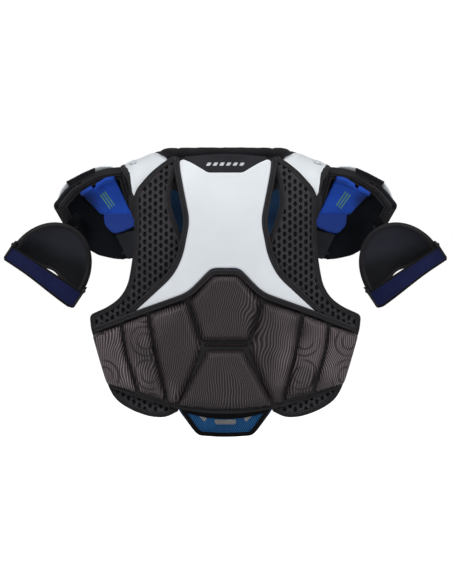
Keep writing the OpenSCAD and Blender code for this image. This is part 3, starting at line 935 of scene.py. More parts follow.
def dotted_mesh(name, color, dark, pitch):
    """Thin lining mesh: a staggered lattice of small dark holes."""
    look = Look(name, rough=0.75, sheen=0.08, specular=0.25)
    x, y, _ = look.split(look.flat())
    holes = look.ramp(look.diamonds(x * math.sqrt(3), y, 2 * pitch), 0.35, 0.7)
    look.color(look.mix(holes, look.worn(color, look.space(), 20, 0.2), dark))
    look.bump(1.0 - holes, 0.35)
    return look.mat


def elastic(name, color, edge_color, half_width):
    """Ribbed elastic: fine cords along it, thread ribs across, and a darker woven edge."""
    look = Look(name, rough=0.75, sheen=0.03, specular=0.15)
    x, y, _ = look.split(look.flat())
    cords = look.wave(y, 0.0016)
    tint = look.mix(cords * 0.45, look.worn(color, look.space(), 35, 0.2), scaled(color, 1.9, 0.002))
    edge = look.ramp(abs(y), half_width * MM - 0.0026, half_width * MM - 0.0018)
    look.color(look.mix(edge, tint, edge_color))
    look.bump(cords, 0.25)
    look.bump(look.wave(x, 0.0010), 0.08)
    return look.mat


def moulded(name, color, rough=0.5):
    """Moulded plastic or rubber with a leather-like grain."""
    look = Look(name, rough=rough, specular=0.45)
    v = look.space()
    look.color(look.worn(color, v, 24, 0.2))
    look.set("Roughness", look.noise(v, 80, 3) * 0.25 + (rough - 0.1))
    cells = look.number("TexVoronoi", {"Vector": v, "Scale": 700.0}, "Distance", feature="DISTANCE_TO_EDGE")
    look.bump(look.ramp(cells, 0.0, 0.12), 0.06)
    return look.mat


def painted_steel():
    """Rivet heads painted like the shell, with bare metal starting to show."""
    look = Look("rivet_steel", rough=0.35, specular=0.5)
    v = look.space()
    bare = look.ramp(look.noise(v, 420, 4), 0.62, 0.72)
    look.color(look.mix(bare, srgb(214, 219, 225), srgb(150, 152, 156)))
    look.set("Metallic", bare * 0.8)
    look.bump(look.noise(v, 1800), 0.03)
    return look.mat


def thread(name, color):
    look = Look(name, rough=0.6, sheen=0.5)
    v = look.space()
    look.color(look.worn(color, v, 300, 0.2))
    look.bump(look.noise(v, 2500, 1), 0.05)
    return look.mat


def studio_paper():
    """Pale paper that the camera sees as evenly lit."""
    look = Look("studio_paper", rough=0.9, specular=0.1)
    look.color((0.8, 0.8, 0.805, 1))
    look.set("Emission Color", (1, 1, 1, 1))
    look.set("Emission Strength", look.number("LightPath", {}, "Is Camera Ray") * 0.9)
    return look.mat


WHITE = shell_white()
BINDING = binding_tape("binding_black", srgb(27, 25, 28))
WEBBING = binding_tape("loop_webbing", srgb(33, 32, 35), 0.66)
COLLAR = brushed_cloth("collar_cloth", srgb(27, 25, 28), wrinkle=0.8)
YOKE = brushed_cloth("yoke_cloth", srgb(33, 33, 38), rough=0.7, wrinkle=0.25)
MESH = side_mesh_knit()
BACKING = dotted_mesh("mesh_backing", srgb(27, 26, 29), srgb(14, 14, 16), 0.0016)
LUMBAR = lumbar_cloth()
FOAM = brushed_cloth("laminated_foam", srgb(26, 26, 29), pitch=0.0012, wrinkle=0.7)
# Painted shade: the same blue liner as the belly's, coloured much darker for the shade inside the front
# panel.
LINER_SHADED = dotted_mesh("liner_blue", srgb(22, 60, 96), srgb(9, 22, 38), 0.0022)
BELLY_BLUE = dotted_mesh("belly_blue", srgb(60, 136, 206), srgb(14, 50, 112), 0.0032)
PRINT_MESH = dotted_mesh("belly_print", srgb(214, 214, 216), srgb(104, 96, 98), 0.0028)
CAP_BLUE = padded_blue()
CAP_DARK = brushed_cloth("cap_lining", srgb(15, 17, 22), rough=0.7, specular=0.06, sheen=0.02, wrinkle=1.0)
CAP_PANEL = brushed_cloth("cap_lining_panel", srgb(35, 38, 44), rough=0.7, wrinkle=0.6)
# Painted shade: the tether is darker than the cap lining, so that it stays as dark as the shaded lining
# round it though it faces the lamps.
TETHER_SHADED = brushed_cloth("tether_cloth", srgb(9, 10, 13), rough=0.8, specular=0.03, sheen=0.01)
GUARD_IN = guard_lining()
GUARD_OUT = moulded("guard_shell", srgb(24, 24, 27))
RUBBER = moulded("tab_rubber", srgb(38, 38, 41), 0.6)
SIDE_ELASTIC = elastic("side_elastic", srgb(30, 30, 33), srgb(20, 20, 22), 19)
ARM_ELASTIC = elastic("arm_elastic", srgb(14, 20, 58), srgb(11, 11, 15), 12)
PAINTED = painted_steel()
BLACK_THREAD = thread("thread_black", srgb(52, 51, 55))
PRINT = moulded("light_print", srgb(196, 199, 203), 0.6)


# ---------- spine plate and yoke ----------

PLATE_HALF = [
    (27, -38.7, 4), (67.5, -13, 8), (73.5, -16.5, 8), (71, -35, 8), (57, -107, 14), (57, -122, 14),
    (66.5, -171, 18), (82, -201, 20), (146, -259.5, 2), (57, -226, 14), (22, -188, 9)
]
SPINE_EDGE = [
    (76, -15.5, 0), (76, -21, 3), (74.5, -36, 10), (60.5, -107, 14), (60.5, -122, 14), (70, -170, 18),
    (85, -198, 20), (149, -257, 0)
]
YOKE_HALF = [(66, -10, 2), (62, -17, 3), (30, -42, 3)]
MARK_BARS, MARK_PITCH, MARK_START = 6, 10.4, -26
SPINE_FOAM_HALF = [(60, -50, 8), (50, -108, 14), (50, -121, 14), (58, -174, 8)]
plate_outline = rounded(whole(PLATE_HALF))


def plate_height(p, d):
    """A shallow channel inside the rim and a low spine down the middle."""
    x, z = p.T
    spine = 0.9 * bell(x, 17) * smoothstep((-z - 48) / 25) * smoothstep((z + 178) / 25)
    return spine - 0.5 * bell(d - 8, 1.6)


def spine_plate():
    relief("spine_plate_shell", BACK, plate_outline, (PLATE_IN + 1, PLATE_OUT), WHITE, "back", rim=2.4,
           step=4.5, height=plate_height, stand_for="spine_plate")


def spine_tape():
    """Tape down the plate's edge to the tips of its feet."""
    edge = offset_path(rounded(SPINE_EDGE, closed=False), 1.0)
    pair(tape("spine_tape_right", BACK, edge, 8.5, (PLATE_IN - 1.5, PLATE_OUT + 0.5), PLATE_OUT, "back",
              stand_for="spine_binding"))
    rows = [offset_path(edge, w) for w in (-2.6, 2.6)]
    pair(seam("spine_tape_stitches_right", BACK, rows, PLATE_OUT, PLATE_OUT + 0.75, "back"))


def yoke_panel():
    """The cloth panel in the plate's notch, with a plain mark of slanted bars."""
    relief("yoke_cloth_panel", BACK, rounded(whole(YOKE_HALF)), (CARRIER_OUT - 1, PLATE_IN + 3), YOKE,
           "back", rim=1.0, step=5, stand_for="yoke_panel")
    for i in range(MARK_BARS):
        x = MARK_START + MARK_PITCH * i
        bar = [(x - 4.5, -28.5, 0.8), (x + 1.5, -28.5, 0.8), (x + 4.5, -23.5, 0.8), (x - 1.5, -23.5, 0.8)]
        relief(f"yoke_mark_{i}", BACK, rounded(bar, step=0.8), (PLATE_IN + 2.8, PLATE_IN + 3.5), PRINT,
               "back", rim=0.2, step=2)


def spine_cushion():
    return relief("spine_cushion", BACK, rounded(whole(SPINE_FOAM_HALF)), (MESH_IN + 1, CARRIER_OUT - 1),
                  FOAM, "back", rim=2.5, step=5, stand_for="spine_foam")


# ---------- collar ----------

COLLAR_RX, COLLAR_RY, COLLAR_R = 104.0, 81.0, 9.0


def collar_roll():
    """A round roll behind the neck, spread into a flat pointed lobe over each shoulder arch."""
    a = np.radians(np.linspace(-179.5, -0.5, 141))
    x, y = COLLAR_RX * np.cos(a), COLLAR_RY * np.sin(a)
    tip = np.clip((np.abs(x) - 70) / (COLLAR_RX - 70), 0, 1)
    notch = 1.4 * bell(np.abs(x) - 73, 3)
    top = -0.3 - 8.7 * tip ** 5 - notch
    bottom = -2 * COLLAR_R + 7.5 * tip
    path = np.column_stack([x, y - 5 * tip, (top + bottom) / 2])
    radius = (top - bottom) / 2
    wrinkled(tube("collar_roll_pad", path, radius, COLLAR, "back", flatten=0.85, stand_for="collar_roll"),
             0.7, 16)
    underside = path + np.column_stack([0 * a, 0.55 * radius * np.sin(a), -0.86 * radius])
    stitches("collar_seam", [underside[6:-6]], BLACK_THREAD, "back")


# ---------- side mesh ----------

MESH_OUTER = [
    (81, -12.5, 0), (98, -24, 6), (115, -38, 10), (142.5, -70, 16), (141, -105, 20), (141, -146, 20),
    (145, -183, 20), (151, -214, 16), (163, -234, 14), (182, -248, 14), (211, -260.5, 7),
    (208.5, -284, 8), (191, -334, 16), (182.5, -370, 14), (170, -392, 14), (147, -407, 16),
    (118, -417.5, 14), (94, -419, 10), (74, -409, 4)
]
MESH_HIDDEN = [(62, -385, 0), (60, -262, 0)]
MESH_INNER = [
    (58, -215, 6), (60, -172, 10), (66, -149, 12), (73, -130, 14), (81, -108, 16), (87.5, -84, 18),
    (84, -58, 14), (78, -38, 12), (71, -16, 0)
]
LUMBAR_HALF = [
    (20.5, -193.5, 6), (59.5, -229, 14), (139, -255.5, 16), (208, -280, 6), (219, -290.5, 6),
    (194, -367, 8), (181, -375, 8), (128, -392, 30), (79, -404.5, 20), (26, -412, 30)
]
# A gusset cloth near the neck, whose dark cloth also stands for the shade that lies there.
SHADE_GUSSET = [(60, -10, 2), (90, -10, 4), (104, -30, 4), (100, -72, 10), (88, -58, 8), (76, -50, 8),
          (62, -52, 4)]
HOLE_PITCH, HOLE_MARGIN = (8.4, 11.8), 6.4
mesh_outline = rounded(MESH_OUTER + MESH_HIDDEN + MESH_INNER)
lumbar_outline = rounded(whole(LUMBAR_HALF))


def hole_centres():
    """Centres in staggered columns, where neither the pads nor the plate cover the mesh."""
    lo, hi = mesh_outline.min(0), mesh_outline.max(0)
    columns = []
    for i, x in enumerate(np.arange(lo[0], hi[0], HOLE_PITCH[0])):
        z = np.arange(lo[1] + (i % 2) * HOLE_PITCH[1] / 2, hi[1], HOLE_PITCH[1])
        columns.append(np.column_stack([np.full(len(z), x), z]))
    c = np.vstack(columns)
    covered = (inside_depth(c, lumbar_outline) > 12) | (inside_depth(c, plate_outline) > 3)
    return c[(inside_depth(c, mesh_outline) > HOLE_MARGIN) & ~covered]


def side_mesh():
    """The open knit, a thin backing behind its holes, and tape along both edges."""
    holes = {"centres": hole_centres(), "radii": np.array([2.9, 4.3]), "lip": 0.9}
    pair(relief("side_mesh_right", BACK, mesh_outline, (MESH_OUT - 3.6, MESH_OUT), MESH, "back", rim=1.0,
                step=7.0, holes=holes, stand_for="back_mesh_right"))
    pair(relief("mesh_backing_right", BACK, mesh_outline, (MESH_IN, MESH_IN + 1.2), BACKING, "back",
                ref=MESH_OUT, rim=0.4, step=7.0))
    layer = (MESH_IN - 0.4, MESH_OUT + 1.0)
    outer_edge = offset_path(rounded(MESH_OUTER, closed=False), -3.6)
    pair(tape("mesh_tape_outer_right", BACK, outer_edge, 8.2, layer, MESH_OUT, "back",
              stand_for="mesh_binding_right"))
    inner_edge = offset_path(rounded(MESH_INNER, closed=False), -3.2)
    pair(tape("mesh_tape_inner_right", BACK, inner_edge, 8.2, layer, MESH_OUT, "back"))
    rows = [offset_path(edge, -2.4) for edge in (outer_edge, inner_edge)]
    pair(seam("mesh_tape_stitches_right", BACK, rows, MESH_OUT, MESH_OUT + 1.3, "back"))
    # The gusset: real cloth, and dark to paint the shade behind the mesh near the neck.
    pair(relief("neck_gusset_right", BACK, rounded(SHADE_GUSSET), (MESH_IN - 2.4, MESH_IN - 0.6), FOAM, "back",
                ref=MESH_OUT, rim=0.5, step=5.0))


# ---------- lumbar pads ----------

BLOCKS_RIGHT = [
    [(62, -241, 5), (120, -260, 5), (109, -320, 10), (89, -396, 3), (76, -396, 3), (57, -357, 12),
     (39.5, -312, 5)],
    [(126, -262, 4), (163, -275, 4), (157, -318, 10), (136, -379, 4), (96, -392, 5), (114, -322, 14)],
    [(169, -278, 4), (217.5, -292, 4), (202, -338, 12), (192, -366, 6), (143, -379, 5), (163, -318, 16)]
]
BLOCKS_MIDDLE = [
    [(20, -199, 6), (56, -240, 6), (36, -300, 4), (-36, -300, 4), (-56, -240, 6), (-20, -199, 6)],
    [(27.5, -316, 4), (74, -400, 5), (0, -407, 60), (-74, -400, 5), (-27.5, -316, 4)]
]
GROOVE_FLOOR, BLOCK_TOP, BLOCK_BEVEL, BLOCK_CROWN = 16.0, 29.4, 8.5, 2.5
LEDGE_Z, LEDGE_HALF, LEDGE_RISE = -307.5, 35, 4.0
TOP_EDGE_HALF = [(0, -190.5, 0), (21, -190.5, 9), (58.5, -226.5, 14), (139, -255, 16), (203, -279.5, 0)]
HEM_HALF = [(0, -412, 0), (26, -412, 30), (79, -404.5, 20), (128, -392, 30), (181, -374.5, 8),
            (190, -367, 0)]
LINING_HALF = [(52, -200, 8), (58, -300, 10), (54, -398, 8)]


def both_sides(blocks):
    """Right-hand blocks and their mirror images, which turn the same way."""
    return blocks + [mirrored(b)[::-1] for b in blocks]


lumbar_blocks = [rounded(b) for b in BLOCKS_MIDDLE + both_sides(BLOCKS_RIGHT)]


def block_rise(p, shapes, bevel, rise, crown):
    """Height of moulded blocks: steep bevelled sides and a slightly crowned top."""
    h = np.zeros(len(p))
    for shape in shapes:
        d = inside_depth(p, shape)
        t = np.clip((d + 1.0) / bevel, 0, 1)
        side = 0.55 * t + 0.45 * np.sqrt(np.maximum(1 - (1 - t) ** 2, 0))
        h = np.maximum(h, side * (rise - crown) + crown * (1 - np.exp(-np.maximum(d, 0) / 14)) * (t > 0))
    return h


def lumbar_height(p, d):
    """Blocks over a groove floor, falling away to a thin hem, and a ledge between the two middle blocks."""
    x, z = p.T
    hem = (GROOVE_FLOOR - CARRIER_OUT - 2) * (1 - smoothstep(d / 9))
    ledge = LEDGE_RISE * bell(z - LEDGE_Z, 1.3) * smoothstep((LEDGE_HALF - np.abs(x)) / 3)
    return block_rise(p, lumbar_blocks, BLOCK_BEVEL, BLOCK_TOP - GROOVE_FLOOR, BLOCK_CROWN) + ledge - hem


def lumbar_pads():
    sides = [f"lumbar_pad_{p}_{s}" for p in ("inner", "mid", "outer") for s in ("left", "right")]
    relief("lumbar_moulded_pads", BACK, lumbar_outline, (CARRIER_OUT - 2, GROOVE_FLOOR), LUMBAR, "back",
           ref=PAD_OUT, rim=1.2, step=2.8, creases=lumbar_blocks, height=lumbar_height,
           stand_for="lumbar_carrier lumbar_pad_upper lumbar_pad_lower " + " ".join(sides))
    relief("lumbar_lining", BACK, rounded(whole(LINING_HALF)), (MESH_IN - 1, MESH_IN + 2.5), LINER_SHADED, "back",
           ref=MESH_OUT, rim=1.5, step=6, stand_for="lumbar_liner")


def lumbar_tapes():
    """The bound top edge over the ends of the plate, and a thin welt round the hem."""
    top_edge = offset_path(rounded(across_middle(TOP_EDGE_HALF), closed=False), -3.2)
    tape("lumbar_top_tape", BACK, top_edge, 9.0, (CARRIER_OUT, PLATE_OUT + 3.2), PLATE_OUT, "back",
         crown=0.8, stand_for="lumbar_binding")
    hem = offset_path(rounded(across_middle(HEM_HALF), closed=False), 1.6)
    tape("lumbar_hem_tape", BACK, hem, 5.0, (CARRIER_OUT - 3, CARRIER_OUT + 3.4), PAD_OUT, "back")
    rows = [offset_path(top_edge, w) for w in (-2.8, 2.8)]
    seam("lumbar_tape_stitches", BACK, rows, PLATE_OUT, PLATE_OUT + 3.7, "back")


# ---------- shoulder arches ----------

arch_lo, arch_hi = box_mm("shoulder_arch_right")
ARCH_BACK, ARCH_FRONT, ARCH_ARM_X = arch_lo[1] - 2, arch_hi[1] - 2, arch_hi[0]
ARM_SIDE = [
    (ARCH_ARM_X - 4, ARCH_FRONT, 6), (ARCH_ARM_X + 3, ARCH_FRONT - 24, 14), (ARCH_ARM_X + 6, -22, 14),
    (144, ARCH_BACK, 2)
]
ARCH_TAIL = [(145, -73, 0), (144, -88, 8), (138, -108, 0)]


def arch_neck_x(y):
    """The arch's neck edge: under the collar behind the shoulder, and round the neck in front of it."""
    ring = (NECK_R + 4) * math.sqrt(1 - (y / 93) ** 2) + 2
    under_collar = COLLAR_RX * math.sqrt(1 - (y / COLLAR_RY) ** 2) - 1
    return max(84, min(ring, under_collar)) if y < 0 else ring


NECK_SIDE = [(arch_neck_x(y), y, 8) for y in np.linspace(ARCH_BACK, ARCH_FRONT, 9)]
arch_outline = rounded(NECK_SIDE + ARM_SIDE)


def arch_height(p, d):
    """A raised band inside the rim, and a fall towards the neck and the arm."""
    band = 1.1 * smoothstep((d - 5) / 3) - 0.8 * smoothstep((d - 15) / 4)
    return band - 2.2 * smoothstep((114 - p[:, 0]) / 20) - 1.0 * smoothstep((p[:, 0] - 138) / 16)


def shoulder_arch():
    pair(relief("shoulder_arch_shell_right", ARCH, arch_outline, (0.4, 3.0), WHITE, "back", rim=1.2,
                step=4.0, height=arch_height, stand_for="shoulder_arch_right"))
    arm_edge = rounded([(ARCH_ARM_X - 2, ARCH_FRONT - 1, 0), *ARM_SIDE[1:3], (143, ARCH_BACK - 5, 0)],
                       closed=False)
    pair(tape("arch_trim_right", ARCH, offset_path(arm_edge, -1.5), 9.0, (-8.5, 2.2), 0, "back"))
    neck_edge = rounded(NECK_SIDE, closed=False) + [1.0, 0]
    pair(tape("arch_neck_trim_right", ARCH, neck_edge, 6.0, (-8.5, 3.4), 0, "back"))
    tail = rounded(ARCH_TAIL, closed=False)
    pair(tape("arch_tail_right", BACK, tail, 16.0, (MESH_IN - 1.8, MESH_IN), MESH_OUT, "back"))


def arch_cushion():
    return relief("arch_cushion_right", ARCH, offset_inward(arch_outline, 4.0), (-7.5, -1.6), FOAM,
                  "back", rim=2.0, stand_for="arch_pad_right")


def painted_rivets():
    """The frame's own rivet heads, in paint."""
    rivets = frame["nodes"]["arch_rivets"].data
    rivets.materials.clear()
    rivets.materials.append(PAINTED)


def hanging_loop():
    """The webbing loop round its mount."""
    m = mounts["hanging_loop"]
    r = m["dims"]["r_mm"] + 1.0
    a = np.linspace(0, 2 * np.pi, 49)
    out = np.column_stack([np.sin(a), 0 * a, np.cos(a)])
    ribbon("hanging_loop_webbing", np.array(m["pos_m"]) / MM + r * out, [0, 1.0, 0], out,
           m["dims"]["length_mm"], 2.0, WEBBING, "back", stand_for="hanging_loop")


# ---------- front ----------

FRONT_HALF = [
    (20, -82, 14), (62, -66, 16), (104, -39, 6), (128, -72, 16), (130, -110, 16), (126, -150, 20),
    (130, -198, 20), (146, -230, 18), (172, -254, 16), (190, -274, 8), (189, -300, 12), (186, -331, 8),
    (128, -353, 40), (50, -366, 40)
]
RIB_BLOCKS_RIGHT = [
    [(8, -256, 5), (58, -250, 8), (60, -354, 8), (8, -359, 5)],
    [(67, -249, 5), (126, -238, 6), (132, -343, 8), (69, -353, 8)],
    [(135, -240, 6), (150, -250, 8), (180, -277, 6), (177, -322, 8), (141, -339, 6)]
]
CHEST = [
    (46, -80, 8), (99, -52, 10), (116, -78, 14), (119, -112, 14), (116, -150, 20), (119, -196, 16),
    (126, -213, 8), (52, -226, 12), (44, -180, 14), (42, -130, 14)
]
STERNUM_HALF = [(14, -97, 8), (31, -92, 8), (30, -140, 20), (38, -200, 14), (27, -232, 10), (12, -241, 10)]
front_outline = rounded(whole(FRONT_HALF))
rib_blocks = [rounded(b) for b in both_sides(RIB_BLOCKS_RIGHT)]


def front_height(p, d):
    hem = 5 * (1 - smoothstep(d / 10))
    return block_rise(p, rib_blocks, 6, 12, 2.0) - hem


def chest_height(p, d):
    """A raised middle with a channel round it."""
    return 3.2 * smoothstep((d - 3) / 7) - 1.0 * bell(d - 16, 2.2)


def front_panel():
    """The moulded panel with its rib pads, and the blue lining behind it."""
    relief("front_moulded_panel", FRONT, front_outline, (FRONT_FOAM_IN, FRONT_FOAM_OUT + 1), LUMBAR,
           "front", ref=FRONT_FOAM_OUT, step=3.6, creases=rib_blocks, height=front_height,
           stand_for="front_carrier rib_pad_left rib_pad_right")
    relief("front_lining", FRONT, front_outline, (FRONT_IN, FRONT_LINER_OUT), LINER_SHADED, "front", rim=1.0,
           step=6.0, stand_for="front_liner")


def chest_shells():
    pair(relief("chest_shell_right", FRONT, rounded(CHEST), (CHEST_IN - 1, CHEST_IN + 5), WHITE, "front",
                rim=2.0, step=3.5, height=chest_height, stand_for="chest_plate_right"))
    relief("sternum_shell", FRONT, rounded(whole(STERNUM_HALF)), (CHEST_IN - 1, CHEST_IN + 6), WHITE,
           "front", rim=2.4, step=3.5, height=chest_height, stand_for="sternum_plate")


def front_collar():
    """A softer roll that dips under the chin."""
    a = np.radians(np.linspace(20, 160, 81))
    s = np.linspace(0, 1, 81)
    drop = 34 + 42 * np.sin(np.pi * s) ** 1.2
    radius = 7 * (1 - 0.85 * np.abs(2 * s - 1) ** 6)
    path = np.column_stack([95 * np.cos(a), COLLAR_RY * np.sin(a), -COLLAR_R - drop])
    wrinkled(tube("front_collar_pad", path, radius, COLLAR, "front", stand_for="front_collar"), 0.6, 14)


def front_tapes():
    """Binding round the armholes and the hem, and along the neckline."""
    edge = rounded(FRONT_HALF[2:] + mirrored(FRONT_HALF[2:])[::-1], closed=False)
    tape("front_edge_tape", FRONT, offset_path(edge, -2.6), 7.0, (FRONT_IN - 0.5, FRONT_FOAM_OUT + 0.6),
         FRONT_FOAM_OUT, "front", stand_for="front_binding")
    neckline = rounded(mirrored(FRONT_HALF[:3])[::-1] + FRONT_HALF[:3], closed=False)
    tape("front_neck_tape", FRONT, offset_path(neckline, -2.6), 6.0, (FRONT_IN - 0.5, FRONT_FOAM_OUT + 0.4),
         FRONT_FOAM_OUT, "front")


# ---------- belly guard ----------

BELLY_HALF = [(88, -378, 4), (71, -412, 6), (48, -443, 5), (41, -449, 5), (12, -451, 11)]
BAND_HALF = [(80, -396, 3), (68, -413, 3), (26, -424, 30)]
SIDE_PRINT = [(45, -417, 1), (32.5, -419, 1), (29.5, -424.5, 1), (33, -428.5, 1)]
MIDDLE_PRINT = [(-17.5, -425, 1), (17.5, -425, 1), (15.5, -432.5, 1), (-15.5, -432.5, 1)]
belly_outline = rounded(whole(BELLY_HALF))


def belly_cushion():
    return relief("belly_cushion", FRONT, belly_outline, (FRONT_FOAM_IN + 1, FRONT_FOAM_OUT), FOAM,
                  "belly", rim=2.5, stand_for="belly_pad")


def belly_lining():
    """Blue mesh with a black band under the hem, three plain pale prints and tape round the edge."""
    relief("belly_lining", FRONT, belly_outline, (FRONT_IN, FRONT_LINER_OUT), BELLY_BLUE, "belly",
           rim=1.0, step=5.0, stand_for="belly_liner")
    edge = rounded(mirrored(BELLY_HALF) + BELLY_HALF[::-1], closed=False)
    tape("belly_tape", FRONT, offset_path(edge, 2.0), 6.4, (FRONT_IN - 2.2, FRONT_FOAM_OUT + 0.5),
         FRONT_FOAM_OUT, "belly", stand_for="belly_binding")
    relief("belly_band", FRONT, rounded(whole(BAND_HALF)), (FRONT_IN - 1.0, FRONT_IN + 0.5), FOAM, "belly",
           ref=FRONT_LINER_OUT, rim=0.5, slot="binding_black")
    for i, shape in enumerate((MIDDLE_PRINT, SIDE_PRINT, mirrored(SIDE_PRINT))):
        relief(f"belly_print_{i}", FRONT, rounded(shape, step=1.0), (FRONT_IN - 0.5, FRONT_IN + 0.2),
               PRINT_MESH, "belly", ref=FRONT_LINER_OUT, rim=0.15, step=2.5)


# ---------- side straps ----------

UP = np.array([0, 0, 1.0])
STRAP_ROOT = [(172, -74, 0), (188, -62.5, 7), (184.7, -44, 6), (184.7, -30, 0)]
SEWN_BOX = [(3, -15), (12, -15), (12, 15), (3, 15), (3, -15)]
GRIP_RIDGES, GRIP_RIDGE_H = (4, 8, 12, 16, 20), 12.0


def side_strap():
    """The elastic, slightly bowed outwards, with a ridged grip tab at its free end."""
    hinge = np.array(joints["side_strap_right_open"]["pos_m"]) / MM
    lo, hi = box_mm("side_strap_right")
    width = hi[2] - lo[2]
    start = hinge + [1, 0.5, 0]
    end = np.array([hi[0] - 15, hi[1] - 1, hinge[2]])
    along = unit(end - start, 0)
    out = np.array([along[1], -along[0], 0])

    def bowed(shares, off):
        t = shares[:, None]
        return start + (end - start) * t + out * (1.6 * np.sin(np.pi * t) + off)

    pair(ribbon("side_strap_elastic_right", bowed(np.linspace(0, 1, 41), 0), UP, out, width, 2.2,
                SIDE_ELASTIC, "side_strap_right", stand_for="side_strap_right"))
    tab = bowed(np.linspace(0.72, 0.985, 25), 2.4)
    pair(ribbon("side_strap_grip_right", tab, UP, out, width - 5, 2.0, RUBBER, "side_strap_right",
                stand_for="side_strap_tab_right"))
    ridges = [tab[i] + out * 1.4 + np.outer([-1, 1], UP * GRIP_RIDGE_H) for i in GRIP_RIDGES]
    pair(stitches("side_strap_ridges_right", ridges, RUBBER, "side_strap_right", pitch=8, length=8,
                  radius=0.9))
    box = np.array([start + along * s + out * 1.3 + UP * z for s, z in SEWN_BOX])
    pair(stitches("side_strap_stitches_right", [box], BLACK_THREAD, "side_strap_right"))


def side_strap_root():
    """The strap's sewn end, from the inside of the back panel to the strap's inner face at its hinge."""
    lo, hi = box_mm("side_strap_right")
    path = rounded(STRAP_ROOT, closed=False, step=1.5)
    centres = np.column_stack([path, np.full(len(path), joints["side_strap_right_open"]["pos_m"][2] / MM)])
    out = np.column_stack([side_normal(path), np.zeros(len(path))])
    pair(ribbon("side_strap_root_right", centres, UP, out, hi[2] - lo[2], 2.0, SIDE_ELASTIC, "back"))


# ---------- shoulder caps ----------

CAP_OUTLINE = [
    (156.5, -29, 2), (180, -30.5, 14), (205, -36.5, 10), (246, -59.5, 10), (270.5, -89, 5), (253, -119, 6),
    (236, -143, 16), (202, -168, 20), (164, -176, 16), (139, -171, 5), (139, -120, 16), (146, -72, 14)
]
CAP_RIM = [
    (139, -118, 0), (146, -74, 14), (157.5, -31, 2), (180, -32.5, 14), (204, -38.5, 10), (244, -61, 10),
    (267.5, -89.5, 5), (251, -119, 6), (244, -131, 0)
]
CAP_HEM = [(244, -133, 0), (236, -141, 14), (202, -166, 20), (164, -174, 16), (139, -169, 0)]
CAP_SHELL = [
    (168, -30, 4), (178, -25, 5), (197, -25, 8), (222, -34, 10), (248, -49, 8), (259, -62, 8),
    (266, -82, 6), (259, -103, 6), (226, -110, 14), (198, -110, 14), (166, -101, 8)
]
CAP_FLAP = [(204, -38, 1), (203.5, -28, 1), (226, -38, 3), (251, -51.5, 1), (244, -60, 2), (230, -98, 4),
            (204, -92, 4)]
NECK_PANEL = [(172, -134, 3), (153, -173, 3), (140, -170, 3), (140, -128, 3)]
ARM_PANEL = [(176, -136, 3), (157, -174, 3), (200, -167, 10), (232, -141, 10), (240, -112, 10),
             (206, -122, 10)]
BLUE_PANEL = [
    (222, -75, 4), (204, -62, 3), (187, -52, 4), (172, -50, 3), (160, -75, 14), (149.5, -97, 8),
    (145, -104, 2), (195, -104, 3), (206, -92, 8), (216, -82, 4)
]
BLUE_PAD = [
    (190.5, -101.5, 3), (146, -101, 3), (142, -106, 3), (142, -122, 4), (163, -131, 8), (176, -133.5, 6),
    (189, -120, 6)
]
BLUE_FOLD = [(226.5, -71.5, 2), (208, -60, 2), (206, -65.5, 2), (223, -77, 2)]
BLUE_TAB = [(203.5, -58.5, 2), (187, -48.5, 4), (173, -46.5, 2), (172, -53.5, 2), (186, -56, 4),
            (201, -65, 2)]
BLUE_PARTS = {
    "panel": (BLUE_PANEL, -5.5),
    "pad": (BLUE_PAD, -7.0),
    "fold": (BLUE_FOLD, -8.0),
    "tab": (BLUE_TAB, -8.0)
}


def cap_fold(p, d):
    return 1.2 * smoothstep(d / 12)


def cap_shell_height(p, d):
    return 1.8 * smoothstep((d - 8) / 4)


def cap_padding():
    """The cap's foam bowl and the two lining panels sewn to its inside."""
    pair(relief("cap_padding_right", CAP, rounded(CAP_OUTLINE), (0.0, CAP_FOAM_T), CAP_DARK, "cap_right",
                rim=3.2, height=cap_fold, stand_for="cap_foam_right"))
    pair(relief("cap_lining_panel_right", CAP, rounded(NECK_PANEL), (-1.6, 1.0), CAP_PANEL, "cap_right",
                ref=-1, rim=1.2))
    pair(relief("cap_lining_side_right", CAP, rounded(ARM_PANEL), (-1.8, 1.0), CAP_DARK, "cap_right",
                ref=-1, rim=1.6))


def cap_tapes():
    rim = rounded(CAP_RIM, closed=False)
    pair(tape("cap_rim_tape_right", CAP, offset_path(rim, -3.2), 11.0, (-3.0, CAP_FOAM_T + 1.6), CAP_FOAM_T,
              "cap_right", crown=0.8, stand_for="cap_binding_right"))
    hem = offset_path(rounded(CAP_HEM, closed=False), -1.4)
    pair(tape("cap_hem_tape_right", CAP, hem, 5.5, (-1.5, CAP_FOAM_T + 1.2), CAP_FOAM_T, "cap_right"))
    rows = [offset_path(rim, w) for w in (-6.8, -0.4)]
    pair(seam("cap_rim_stitches_right", CAP, rows, CAP_FOAM_T, -3.3, "cap_right"))


def cap_shell():
    """The white shell and the cloth flap under its arm side."""
    pair(relief("cap_shell_plate_right", CAP, rounded(CAP_SHELL), (CAP_FOAM_T + 3.6, CAP_FOAM_T + 6.4),
                WHITE, "cap_right", rim=1.2, height=cap_shell_height, stand_for="cap_shell_right"))
    pair(relief("cap_flap_right", CAP, rounded(CAP_FLAP), (CAP_FOAM_T + 0.6, CAP_FOAM_T + 3.0), YOKE,
                "cap_right", rim=1.0, slot="carrier_black"))


def cap_blue():
    """The blue liner's four padded parts, which stand inwards from the foam to their own depths."""
    parts = []
    for part, (outline, depth) in BLUE_PARTS.items():
        parts.append(relief(f"cap_blue_{part}_right", CAP, rounded(outline), (depth, -0.8), CAP_BLUE,
                            "cap_right", ref=depth, rim=1.8, step=3.5, stand_for="cap_liner_right"))
    return parts


# ---------- arm guards, in their own axes: across, depth and along the arm ----------

